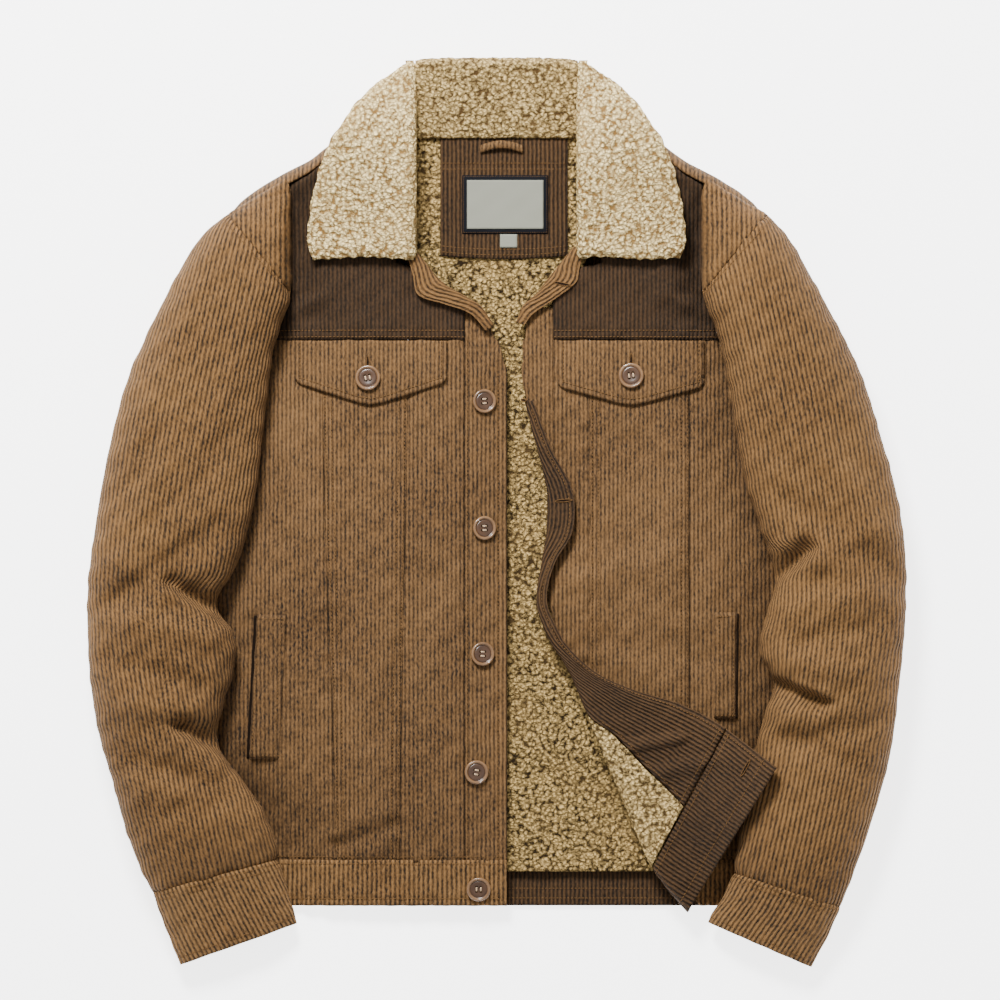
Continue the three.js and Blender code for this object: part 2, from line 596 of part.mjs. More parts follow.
// Elbow pinches: troughs that run in from the inner edge, as rows of the sleeve
const pinches = {
  left: [
    { from: [246, -80], to: [283, -62], depth: 13, width: 8 },
    { from: [243, -200], to: [275, -186], depth: 12, width: 8 },
    { from: [250, -20], to: [330, -75], depth: 4, width: 14 },
    { from: [240, -235], to: [325, -215], depth: 4, width: 13 },
  ],
  right: [
    { from: [241, -58], to: [272, -34], depth: 13, width: 8 },
    { from: [243, -148], to: [281, -160], depth: 12, width: 8 },
    { from: [250, 10], to: [335, -45], depth: 4, width: 14 },
    { from: [250, -200], to: [335, -180], depth: 4, width: 13 },
  ],
};

function pinchDepth(side, outward, y) {
  return pinches[side].reduce((sum, pinch) => {
    const [ax, ay] = pinch.from;
    const [bx, by] = pinch.to;
    const length = Math.hypot(bx - ax, by - ay);
    const along = ((outward - ax) * (bx - ax) + (y - ay) * (by - ay)) / (length * length);
    const off = ((outward - ax) * (by - ay) - (y - ay) * (bx - ax)) / length;
    const past = Math.max(0, -along, along - 1) * length;
    return sum + pinch.depth * Math.exp(-((off / pinch.width) ** 2) - ((past / (1.6 * pinch.width)) ** 2));
  }, 0);
}

// A point on a ring: turn is 0 at the inner edge, a quarter on top, a half at the outer edge
function ringPoint(table, side, v, turn, lift) {
  const row = table.at(v);
  const angle = 2 * Math.PI * turn;
  const power = turn < 0.5 ? RING_SQUARENESS : 1;
  const across = 0.5 - 0.5 * Math.sign(Math.cos(angle)) * Math.abs(Math.cos(angle)) ** power;
  const outward = mix(row.innerX, row.outerX, across);
  const y = mix(row.innerY, row.outerY, across);
  const middle = row.height * 0.5;
  const sine = Math.sin(angle);
  let z;
  if (sine >= 0) {
    z = middle + (row.height - middle) * sine ** RING_SQUARENESS - pinchDepth(side, outward, y) * sine;
  } else {
    z = Math.max(0, middle * (1 + sine / FLAT_FROM));
  }
  return new THREE.Vector3(outward * (side === 'left' ? -1 : 1), y, z + lift);
}

function halfRing(name, table, side, upper, steps, thickness) {
  const HALF_GAP_TURN = 0.003;
  const from = upper ? HALF_GAP_TURN : 0.5 + HALF_GAP_TURN;
  const to = upper ? 0.5 - HALF_GAP_TURN : 1 - HALF_GAP_TURN;
  const point = (u, v) => ringPoint(table, side, v, mix(from, to, u), 0);
  addPiece(name, wall(point, steps[0], steps[1], thickness, side === 'right'), corduroy);
}

function buildSleeve(side) {
  const sleeve = sections(sleeveNames, sleeveRows[side]);
  halfRing(`topsleeve_${side}`, sleeve, side, true, [10, 25], CLOTH);
  halfRing(`undersleeve_${side}`, sleeve, side, false, [8, 14], CLOTH);
  const cuff = sections(sleeveNames, cuffRows[side]);
  const ring = (u, v) => ringPoint(cuff, side, v, u, 0);
  addPiece(`cuff_${side}`, tubeWall(ring, 18, 3, 3, side === 'right'), corduroy);
}

// A closed wall round a tube: u runs once round, v along
function tubeWall(point, uSteps, vSteps, thickness, turned) {
  const positions = [];
  const inner = [];
  const delta = 2e-3;
  const wrap = (u) => u - Math.floor(u);
  for (let j = 0; j <= vSteps; j += 1) {
    for (let i = 0; i < uSteps; i += 1) {
      const u = i / uSteps;
      const v = j / vSteps;
      const alongU = point(wrap(u + delta), v).sub(point(wrap(u - delta), v));
      const alongV = point(u, v + delta).sub(point(u, v - delta));
      const normal = alongU.cross(alongV).normalize().multiplyScalar(turned ? -1 : 1);
      const outer = point(u, v);
      positions.push(outer.x, outer.y, outer.z);
      inner.push(outer.addScaledVector(normal, -thickness));
    }
  }
  inner.forEach((place) => positions.push(place.x, place.y, place.z));
  const count = uSteps * (vSteps + 1);
  const faces = [];
  const quad = (a, b, c, d) => faces.push(...(turned ? [a, c, b, a, d, c] : [a, b, c, a, c, d]));
  for (let i = 0; i < uSteps; i += 1) {
    const next = (i + 1) % uSteps;
    for (let j = 0; j < vSteps; j += 1) {
      const a = j * uSteps;
      const b = a + uSteps;
      quad(a + i, a + next, b + next, b + i);
      quad(count + a + i, count + b + i, count + b + next, count + a + next);
    }
    const top = vSteps * uSteps;
    quad(next, i, count + i, count + next);
    quad(top + i, top + next, count + top + next, count + top + i);
  }
  const geometry = new THREE.BufferGeometry();
  geometry.setAttribute('position', new THREE.Float32BufferAttribute(positions, 3));
  geometry.setIndex(faces);
  return geometry;
}

// The outer end of each front yoke, from the fold beside the sleeve head to the armhole seam
function buildShoulder(side) {
  const armhole = sleeveRows[side][0];
  const table = sections(['outerX', 'outerY', 'innerX', 'innerY', 'height', 'outerZ', 'innerZ'], [
    [armhole[0] - 2.2, armhole[1] - 1.2, 180.4, armhole[3] + 2.5, 63, 33, 26],
    [214, 261.5, 180.3, 215, 59, 35, 17], [200, 271.5, 180.3, 245, 50, 35, 21],
    [186, 282, 180.3, 275, 40, 35, 31],
  ]);
  const point = (u, v) => {
    const row = table.at(v);
    const angle = Math.PI * mix(0.002, 0.998, u);
    const across = 0.5 - 0.5 * Math.sign(Math.cos(angle)) * Math.abs(Math.cos(angle)) ** RING_SQUARENESS;
    const endZ = mix(row.innerZ, row.outerZ, across);
    const z = endZ + (row.height - endZ) * Math.abs(Math.sin(angle)) ** RING_SQUARENESS;
    const sign = side === 'left' ? -1 : 1;
    const x = sign * mix(row.innerX, row.outerX, across);
    return new THREE.Vector3(x, mix(row.innerY, row.outerY, across), z);
  };
  addPiece(`front_shoulder_${side}`, wall(point, 9, 6, CLOTH, side === 'left'), corduroy);
}

// Buttons: a raised rim round a dished middle
const BUTTON_RADIUS = 10.5;
const buttonProfile = [[0, 0], [0.8, 0], [1, 0.12], [1, 0.26], [0.9, 0.34], [0.74, 0.26], [0.4, 0.18],
  [0, 0.17]];

function addButton(name, side, x, y, lift, radius = BUTTON_RADIUS) {
  const profile = buttonProfile.map(([r, h]) => new THREE.Vector2(r * radius, h * radius));
  const geometry = new THREE.LatheGeometry(profile, 14);
  geometry.rotateX(Math.PI / 2);
  const mesh = addPiece(name, geometry, buttonHorn);
  const step = 4;
  const slopeX = (frontHeight(side, x + step, y) - frontHeight(side, x - step, y)) / (2 * step);
  const slopeY = (frontHeight(side, x, y + step) - frontHeight(side, x, y - step)) / (2 * step);
  const normal = new THREE.Vector3(-slopeX, -slopeY, 1).normalize();
  mesh.quaternion.setFromUnitVectors(new THREE.Vector3(0, 0, 1), normal);
  mesh.position.set(x, y, frontHeight(side, x, y) + lift);
}

const FRONT_BUTTONS = [[-11, 97], [-11, -13.5], [-12.6, -123], [-17.8, -226], [-14.4, -324]];

function buildButtons() {
  FRONT_BUTTONS.forEach(([x, y], i) => {
    const onWaistband = y < WAIST_SEAM_Y ? WAISTBAND_LIFT : 0;
    addButton(`button_${i + 1}`, 'left', x, y, 0.5 + onWaistband);
  });
  addButton('flap_button_left', 'left', -112, 117, FLAP_LIFT + 0.5, 11);
  addButton('flap_button_right', 'right', 117, 119, FLAP_LIFT + 0.5, 11);
}

buildBack();
buildNeck();
buildCollar();
['left', 'right'].forEach((side) => {
  buildFront(side);
  buildFlap(side);
  buildWelt(side);
  buildShoulder(side);
  buildSleeve(side);
});
buildWaistbands();
buildTurns();
buildButtons();

export default jacket;
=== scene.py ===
"""A man's waist-length corduroy jacket with a sherpa lining, laid on its back with the fronts open.

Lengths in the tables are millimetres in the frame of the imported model: X across the body, +Y towards the
collar, Z up from the surface. The left side is the left side as seen from above. Meshes are in metres.
"""

from __future__ import annotations

import logging
import math
from dataclasses import dataclass, field
from enum import Enum
from typing import Callable, Sequence

import bpy
import numpy as np
from mathutils import Matrix, Vector, noise

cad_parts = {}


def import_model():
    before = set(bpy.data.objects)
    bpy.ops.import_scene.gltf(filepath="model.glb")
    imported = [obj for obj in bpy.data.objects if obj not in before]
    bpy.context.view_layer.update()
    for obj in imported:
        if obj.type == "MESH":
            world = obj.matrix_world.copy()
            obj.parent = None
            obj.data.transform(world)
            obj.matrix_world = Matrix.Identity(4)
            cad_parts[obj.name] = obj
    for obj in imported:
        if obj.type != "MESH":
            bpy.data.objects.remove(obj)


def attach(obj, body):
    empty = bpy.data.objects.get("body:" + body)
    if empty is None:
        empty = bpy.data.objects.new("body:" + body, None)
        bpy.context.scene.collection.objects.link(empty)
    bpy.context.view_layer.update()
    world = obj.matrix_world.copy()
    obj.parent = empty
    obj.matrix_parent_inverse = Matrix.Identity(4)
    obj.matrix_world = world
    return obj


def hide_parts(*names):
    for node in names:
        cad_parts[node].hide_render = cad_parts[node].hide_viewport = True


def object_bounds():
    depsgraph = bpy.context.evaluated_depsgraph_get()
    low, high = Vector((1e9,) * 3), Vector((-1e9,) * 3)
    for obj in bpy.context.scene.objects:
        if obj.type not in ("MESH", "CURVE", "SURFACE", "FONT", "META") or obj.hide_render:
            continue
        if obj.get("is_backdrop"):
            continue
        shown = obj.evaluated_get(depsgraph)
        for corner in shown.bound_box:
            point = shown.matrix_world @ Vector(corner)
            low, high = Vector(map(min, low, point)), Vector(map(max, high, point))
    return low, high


log = logging.getLogger("jacket")

MM = 0.001
BODY = "root"
LEAST_SHEET = 0.01  # metres; a narrower tape is no sheet of cloth
Grid = np.ndarray
Surface = Callable[[Grid, Grid], "tuple[Grid, Grid, Grid]"]


class Side(Enum):
    """A side of the jacket as seen from above."""

    LEFT = "left"
    RIGHT = "right"

    @property
    def sign(self) -> int:
        """Direction of X towards this side."""
        return -1 if self is Side.LEFT else 1


def mix(a: Grid | float, b: Grid | float, t: Grid | float) -> Grid | float:
    """Value between a and b at the share t."""
    return a + (b - a) * t


def smooth(t: Grid | float) -> Grid:
    """Eased step from 0 to 1."""
    c = np.clip(t, 0.0, 1.0)
    return c * c * (3 - 2 * c)


class Curve:
    """A smooth curve through points of position and value."""

    def __init__(self, points: Sequence[Sequence[float]], level: bool = True) -> None:
        """Store the curve.

        Args:
            points: pairs of position and value, with rising positions.
            level: whether the curve is level past its ends, or straight on.
        """
        table = np.array(points, float)
        self.x, self.y, self.level = table[:, 0], table[:, 1], level
        last = len(self.x) - 1
        after = np.minimum(np.arange(last + 1) + 1, last)
        before = np.maximum(np.arange(last + 1) - 1, 0)
        self.slope = (self.y[after] - self.y[before]) / (self.x[after] - self.x[before])

    def __call__(self, t: Grid | float) -> Grid:
        """Value of the curve.

        Args:
            t: one or many positions.

        Returns:
            The value at each position.
        """
        t = np.asarray(t, float)
        if self.level:
            t = np.clip(t, self.x[0], self.x[-1])
        i = np.clip(np.searchsorted(self.x, t, side="right") - 1, 0, len(self.x) - 2)
        span = self.x[i + 1] - self.x[i]
        k = np.clip((t - self.x[i]) / span, 0.0, 1.0)
        inside = (
            self.y[i] * (1 + 2 * k) * (1 - k) ** 2
            + self.slope[i] * span * k * (1 - k) ** 2
            + self.y[i + 1] * k * k * (3 - 2 * k)
            - self.slope[i + 1] * span * k * k * (1 - k)
        )
        before = np.minimum(t - self.x[0], 0.0) * self.slope[0]
        return inside + before + np.maximum(t - self.x[-1], 0.0) * self.slope[-1]


class Rows:
    """Cross-sections along a piece, each a row of numbers, with smooth curves through them."""

    def __init__(self, table: Sequence[Sequence[float]]) -> None:
        """Space the rows by the distance between their first two points.

        Args:
            table: one row for each section. Columns 0 to 3 are the X and Y of its two ends.
        """
        rows = np.array(table, float)
        steps = np.hypot(*np.diff(rows[:, :2], axis=0).T) + np.hypot(*np.diff(rows[:, 2:4], axis=0).T)
        places = np.concatenate([[0.0], np.cumsum(steps)])
        self.shares = places / places[-1]
        self.curves = [Curve(np.stack([self.shares, column], 1), level=False) for column in rows.T]

    def at(self, v: Grid | float) -> list[Grid]:
        """Every column at the share v along the rows."""
        return [curve(v) for curve in self.curves]


class Socket:
    """A node socket that takes part in Python arithmetic."""

    def __init__(self, tree: "Shader", link: object) -> None:
        """Keep the shader and the output socket."""
        self.tree, self.link = tree, link

    def _math(self, operation: str, a: object, b: object = 0.0) -> "Socket":
        """Add a Math node."""
        return self.tree.node("ShaderNodeMath", {"operation": operation}, [a, b])[0]

    def __add__(self, other: object) -> "Socket":
        """Sum."""
        return self._math("ADD", self, other)

    __radd__ = __add__

    def __mul__(self, other: object) -> "Socket":
        """Product."""
        return self._math("MULTIPLY", self, other)

    __rmul__ = __mul__

    def __sub__(self, other: object) -> "Socket":
        """Difference."""
        return self._math("SUBTRACT", self, other)

    def __rsub__(self, other: object) -> "Socket":
        """Difference from a number."""
        return self._math("SUBTRACT", other, self)

    def __truediv__(self, other: object) -> "Socket":
        """Quotient."""
        return self._math("DIVIDE", self, other)

    def __pow__(self, other: object) -> "Socket":
        """Power."""
        return self._math("POWER", self, other)

    def cosine(self) -> "Socket":
        """Cosine of an angle in radians."""
        return self._math("COSINE", self)

    def clamped(self) -> "Socket":
        """The value held from 0 to 1."""
        return self._math("MINIMUM", self._math("MAXIMUM", self, 0.0), 1.0)


class Shader:
    """A material's node tree."""

    def __init__(self, name: str) -> None:
        """Make an empty material with a Principled shader."""
        self.material = bpy.data.materials.new(name)
        self.material.use_nodes = True
        self.tree = self.material.node_tree
        self.principled = self.tree.nodes["Principled BSDF"]

    def node(self, kind: str, settings: dict[str, object], values: list | dict) -> list[Socket]:
        """Add a node.

        Args:
            kind: the node's type.
            settings: properties of the node, set before its sockets.
            values: numbers, colours or sockets for its inputs, by place or by name.

        Returns:
            Its output sockets.
        """
        made = self.tree.nodes.new(kind)
        for key, value in settings.items():
            if key == "stops":
                ramp = made.color_ramp.elements
                ramp[0].position, ramp[0].color = value[0]
                ramp[1].position, ramp[1].color = value[-1]
                for position, colour in value[1:-1]:
                    ramp.new(position).color = colour
            else:
                setattr(made, key, value)
        pairs = values.items() if isinstance(values, dict) else enumerate(values)
        for key, value in pairs:
            if isinstance(value, Socket):
                self.tree.links.new(value.link, made.inputs[key])
            else:
                made.inputs[key].default_value = value
        return [Socket(self, output) for output in made.outputs if output.enabled]

    def blend(self, a: object, b: object, share: object) -> Socket:
        """Mix two colours.

        Args:
            a: colour at share 0.
            b: colour at share 1.
            share: a number or socket.

        Returns:
            The mixed colour.
        """
        made = self.tree.nodes.new("ShaderNodeMix")
        made.data_type = "RGBA"
        for key, value in ((0, share), (6, a), (7, b)):
            if isinstance(value, Socket):
                self.tree.links.new(value.link, made.inputs[key])
            else:
                made.inputs[key].default_value = value
        return Socket(self, made.outputs[2])

    def noise(self, place: Socket, scale: float, detail: float = 2.0) -> Socket:
        """Noise from 0 to 1 at a place.

        Args:
            place: coordinates.
            scale: repeats for each unit of the coordinates.
            detail: octaves.

        Returns:
            The noise value.
        """
        return self.node("ShaderNodeTexNoise", {}, {"Vector": place, "Scale": scale, "Detail": detail})[0]

    def finish(self, colour: object, roughness: object, height: Socket | None = None,
               depth: float = 0.0) -> None:
        """Link the shader.

        Args:
            colour: base colour.
            roughness: a number or socket.
            height: surface relief from 0 to 1.
            depth: height in metres of that relief.
        """
        for key, value in (("Base Color", colour), ("Roughness", roughness)):
            if isinstance(value, Socket):
                self.tree.links.new(value.link, self.principled.inputs[key])
            else:
                self.principled.inputs[key].default_value = value
        if height is not None:
            bump = self.node("ShaderNodeBump", {}, {"Strength": 1.0, "Distance": depth, "Height": height})[0]
            self.tree.links.new(bump.link, self.principled.inputs["Normal"])

    def fixed(self, values: dict[str, object]) -> None:
        """Set the shader's unlinked sockets by name."""
        for key, value in values.items():
            self.principled.inputs[key].default_value = value


def linear(red: int, green: int, blue: int) -> tuple[float, float, float, float]:
    """Colour for a shader from 8-bit values."""
    steps = [c / 255 for c in (red, green, blue)]
    return (*[s / 12.92 if s < 0.04045 else ((s + 0.055) / 1.055) ** 2.4 for s in steps], 1.0)


@dataclass(frozen=True)
class Corduroy:
    """Cut pile in wales that run along V of the piece's own UV map, in metres."""

    name: str
    crown: tuple[float, float, float, float]
    # colour of the hollows between the wales: painted shade
    valley_shade: tuple[float, float, float, float]
    # lighter colour of the wales' crowns: partly wear, partly painted highlight
    wear_and_highlight: tuple[float, float, float, float]
    pitch: float = 0.0037
    relief: float = 0.0010
    ribbed: float = 0.6  # how much of the light and dark the wales carry
    stray: float = 0.28  # how far a wale wanders, in pitches
    streaks: tuple[float, float] = (0.8, 75.0)  # for each pitch across, for each metre along
    flecks: tuple[float, float] = (620.0, 300.0)  # for each metre across and along
    clouds: tuple[float, float] = (17.0, 5.0)  # small and broad ones for each metre
    sheen: float = 0.12

    def build(self) -> bpy.types.Material:
        """Make the material.

        Returns:
            The material.
        """
        shader = Shader(self.name)
        grain = shader.node("ShaderNodeUVMap", {"uv_map": "grain"}, [])[0]
        place = shader.node("ShaderNodeTexCoord", {}, [])[3]
        across, along, _ = shader.node("ShaderNodeSeparateXYZ", {}, [grain])
        wander = shader.noise(grain, 60.0, 1.0) - 0.5
        wale = across / self.pitch + wander * self.stray
        ridge = (wale * (2 * math.pi)).cosine() * 0.5 + 0.5
        streak_place = [across / self.pitch * self.streaks[0], along * self.streaks[1], 0.0]
        streak = shader.noise(shader.node("ShaderNodeCombineXYZ", {}, streak_place)[0], 1.0, 3.0)
        fleck_place = [across * self.flecks[0], along * self.flecks[1], 0.0]
        fleck = shader.noise(shader.node("ShaderNodeCombineXYZ", {}, fleck_place)[0], 1.0, 3.0)
        cloud = shader.noise(place, self.clouds[0], 4.0)
        broad = shader.noise(place, self.clouds[1], 2.0)
        shown = (cloud * 1.2 - 0.2).clamped() * 0.2 + 0.8
        lit = (ridge ** 0.9 * shown * self.ribbed + (streak - 0.5) * 1.5 + (fleck - 0.5) * 2.0
               + (cloud - 0.5) * 0.1 + (broad - 0.5) * 0.15 + 0.44 - 0.3 * self.ribbed).clamped()
        # Blending from the valley colour to the crown colour along the wale ridges paints shade into the
        # hollows between the wales.
        cloth = shader.blend(self.valley_shade, self.crown, lit)
        # Lighter patches on the wales' crowns: partly wear, partly painted highlight.
        wear_and_highlight = ((cloud * 0.8 + broad * 0.6 + fleck * 1.1 - 0.85) * (ridge * 0.7 + 0.3)).clamped()
        colour = shader.blend(cloth, self.wear_and_highlight, wear_and_highlight * 0.85)
        height = ridge ** 0.55 * shown * 0.85 + (streak - 0.5) * 0.3 + (fleck - 0.5) * 0.5
        shader.finish(colour, 0.88, height, self.relief)
        shader.fixed({"Sheen Weight": self.sheen, "Sheen Roughness": 0.45, "Sheen Tint": self.wear_and_highlight,
                      "Specular IOR Level": 0.25})
        return shader.material


@dataclass(frozen=True)
class Sherpa:
    """Curly pile in clumps a few millimetres across."""

    name: str
    tip: tuple[float, float, float, float]
    # colour at the clumps' edges and in the gaps between them: painted shade
    root: tuple[float, float, float, float]
    shade: tuple[float, float, float, float]
    clump: float = 0.0031
    relief: float = 0.0024
    bend: float = 0.0045  # how far the clumps' outlines wander, in metres
    sheen: float = 0.08

    def build(self) -> bpy.types.Material:
        """Make the material.

        Returns:
            The material.
        """
        shader = Shader(self.name)
        place = shader.node("ShaderNodeTexCoord", {}, [])[3]
        shift = shader.node("ShaderNodeTexNoise", {}, {"Vector": place, "Scale": 180.0, "Detail": 2.0})[1]
        bent = shader.node("ShaderNodeVectorMath", {"operation": "MULTIPLY_ADD"},
                           {0: shift, 1: (self.bend,) * 3, 2: place})[0]
        cells = {"Vector": bent, "Scale": 1 / self.clump, "Smoothness": 0.35, "Randomness": 1.0}
        far = shader.node("ShaderNodeTexVoronoi", {"feature": "SMOOTH_F1"}, cells)[0]
        curl = shader.noise(bent, 900.0, 3.0)
        cloud = shader.noise(place, 22.0, 3.0)
        # The clumps' edges and the gaps between them fall to the root colour: painted shade.
        puff = (1.3 - far * 1.55 + (curl - 0.5) * 1.1).clamped()
        pile = shader.blend(self.root, self.tip, puff ** 1.3)
        colour = shader.blend(pile, self.shade, (cloud * 2.2 - 1.0).clamped() * 0.35)
        shader.finish(colour, 0.95, puff, self.relief)
        shader.fixed({"Sheen Weight": self.sheen, "Sheen Roughness": 0.6, "Sheen Tint": self.tip,
                      "Specular IOR Level": 0.1})
        return shader.material


@dataclass(frozen=True)
class Plain:
    """A plain finish with a fine grain, for thread, horn, tape, label cloth and the painted shade in slits.
    """

    name: str
    colour: tuple[float, float, float, float]
    second: tuple[float, float, float, float]
    roughness: float = 0.6
    coat: float = 0.0
    grain: float = 900.0
    relief: float = 0.0001

    def build(self) -> bpy.types.Material:
        """Make the material.

        Returns:
            The material.
        """
        shader = Shader(self.name)
        place = shader.node("ShaderNodeTexCoord", {}, [])[3]
        speck = shader.noise(place, self.grain, 3.0)
        shader.finish(shader.blend(self.colour, self.second, speck), self.roughness, speck, self.relief)
        shader.fixed({"Coat Weight": self.coat, "Specular IOR Level": 0.5 if self.coat else 0.1})
        return shader.material


class Grain(Enum):
    """How the wales lie on a piece."""

    STRAIGHT = "along Y of the body"
    CENTRED = "along the middle of the piece"
    EDGE = "along the edge where u is 1"
    AXIS = "along a curved axis beside the body"


def cell_normals(points: Grid, flip: bool, closed: bool) -> Grid:
    """Unit normals of a grid of points.

    Args:
        points: rows along v, columns along u.
        flip: whether the face looks against du x dv.
        closed: whether the last column repeats the first.

    Returns:
        One normal for each point.
    """
    padded = np.concatenate([points[:, -2:-1], points, points[:, 1:2]], 1) if closed else points
    along_u = np.gradient(padded, axis=1)
    along_u = along_u[:, 1:-1] if closed else along_u
    normal = np.cross(along_u, np.gradient(points, axis=0))
    normal /= np.maximum(np.linalg.norm(normal, axis=2, keepdims=True), 1e-9)
    return -normal if flip else normal


def arc(points: Grid, axis: int) -> Grid:
    """Distance along the cloth from the grid's first line, by axis 0 for v or 1 for u."""
    steps = np.linalg.norm(np.diff(points, axis=axis), axis=2)
    return np.concatenate([np.zeros_like(np.take(steps, [0], axis)), np.cumsum(steps, axis)], axis)


def pinch_depth(pinches: Sequence[Sequence[float]], x: Grid, y: Grid) -> Grid:
    """Depth of sharp folds: the cloth sinks towards a line from one side and stands up in a lip past it.

    Args:
        pinches: rows of start X, start Y, end X, end Y, depth, half width and 1 for a lip below, -1 above.
        x: places.
        y: places.

    Returns:
        The sum of the folds' depths.
    """
    total = np.zeros_like(np.asarray(x, float))
    for ax, ay, bx, by, depth, width, lip in pinches:
        length = math.hypot(bx - ax, by - ay)
        along = ((x - ax) * (bx - ax) + (y - ay) * (by - ay)) / (length * length)
        off = lip * ((x - ax) * (by - ay) - (y - ay) * (bx - ax)) / length
        past = np.maximum(0, np.maximum(-along, along - 1)) * length
        steep = np.exp(-((off / (0.35 * width)) ** 2))
        lip_side = steep - 0.4 * (1 - steep) * np.exp(-((off / (2.2 * width)) ** 2))
        section = np.where(off < 0, np.exp(-((off / width) ** 2)), lip_side)
        total = total + depth * section * np.exp(-((past / (0.9 * width)) ** 2))
    return total


def crease_height(creases: Sequence[Sequence[float]], x: Grid, y: Grid, taper: float = 1.0) -> Grid:
    """Height of soft folds, each a line with a bell-shaped section.

    Args:
        creases: rows of start X, start Y, end X, end Y, height and half width. A trough's height is
            negative.
        x: places.
        y: places.
        taper: length of a fold's ends as a multiple of its half width.

    Returns:
        The sum of the folds' heights.
    """
    total = np.zeros_like(np.asarray(x, float))
    for ax, ay, bx, by, height, width in creases:
        length = math.hypot(bx - ax, by - ay)
        along = ((x - ax) * (bx - ax) + (y - ay) * (by - ay)) / (length * length)
        off = ((x - ax) * (by - ay) - (y - ay) * (bx - ax)) / length
        past = np.maximum(0, np.maximum(-along, along - 1)) * length
        total = total + height * np.exp(-((off / width) ** 2) - (past / (taper * width)) ** 2)
    return total


def swell(x: Grid, y: Grid, length: float, seed: float = 0.0) -> Grid:
    """Soft, uneven undulation from -1 to 1.

    Args:
        x: places across.
        y: places along.
        length: length of the waves in millimetres.
        seed: shifts the pattern.

    Returns:
        Its value at each place.
    """
    k = 2 * math.pi / length
    first = np.sin(k * (0.9 * x + 0.35 * y) + seed) * np.sin(k * (0.8 * y - 0.3 * x) + 1.7 * seed)
    return 0.6 * first + 0.4 * np.sin(k * 1.9 * (0.6 * x - 0.8 * y) + 2.3 + seed)


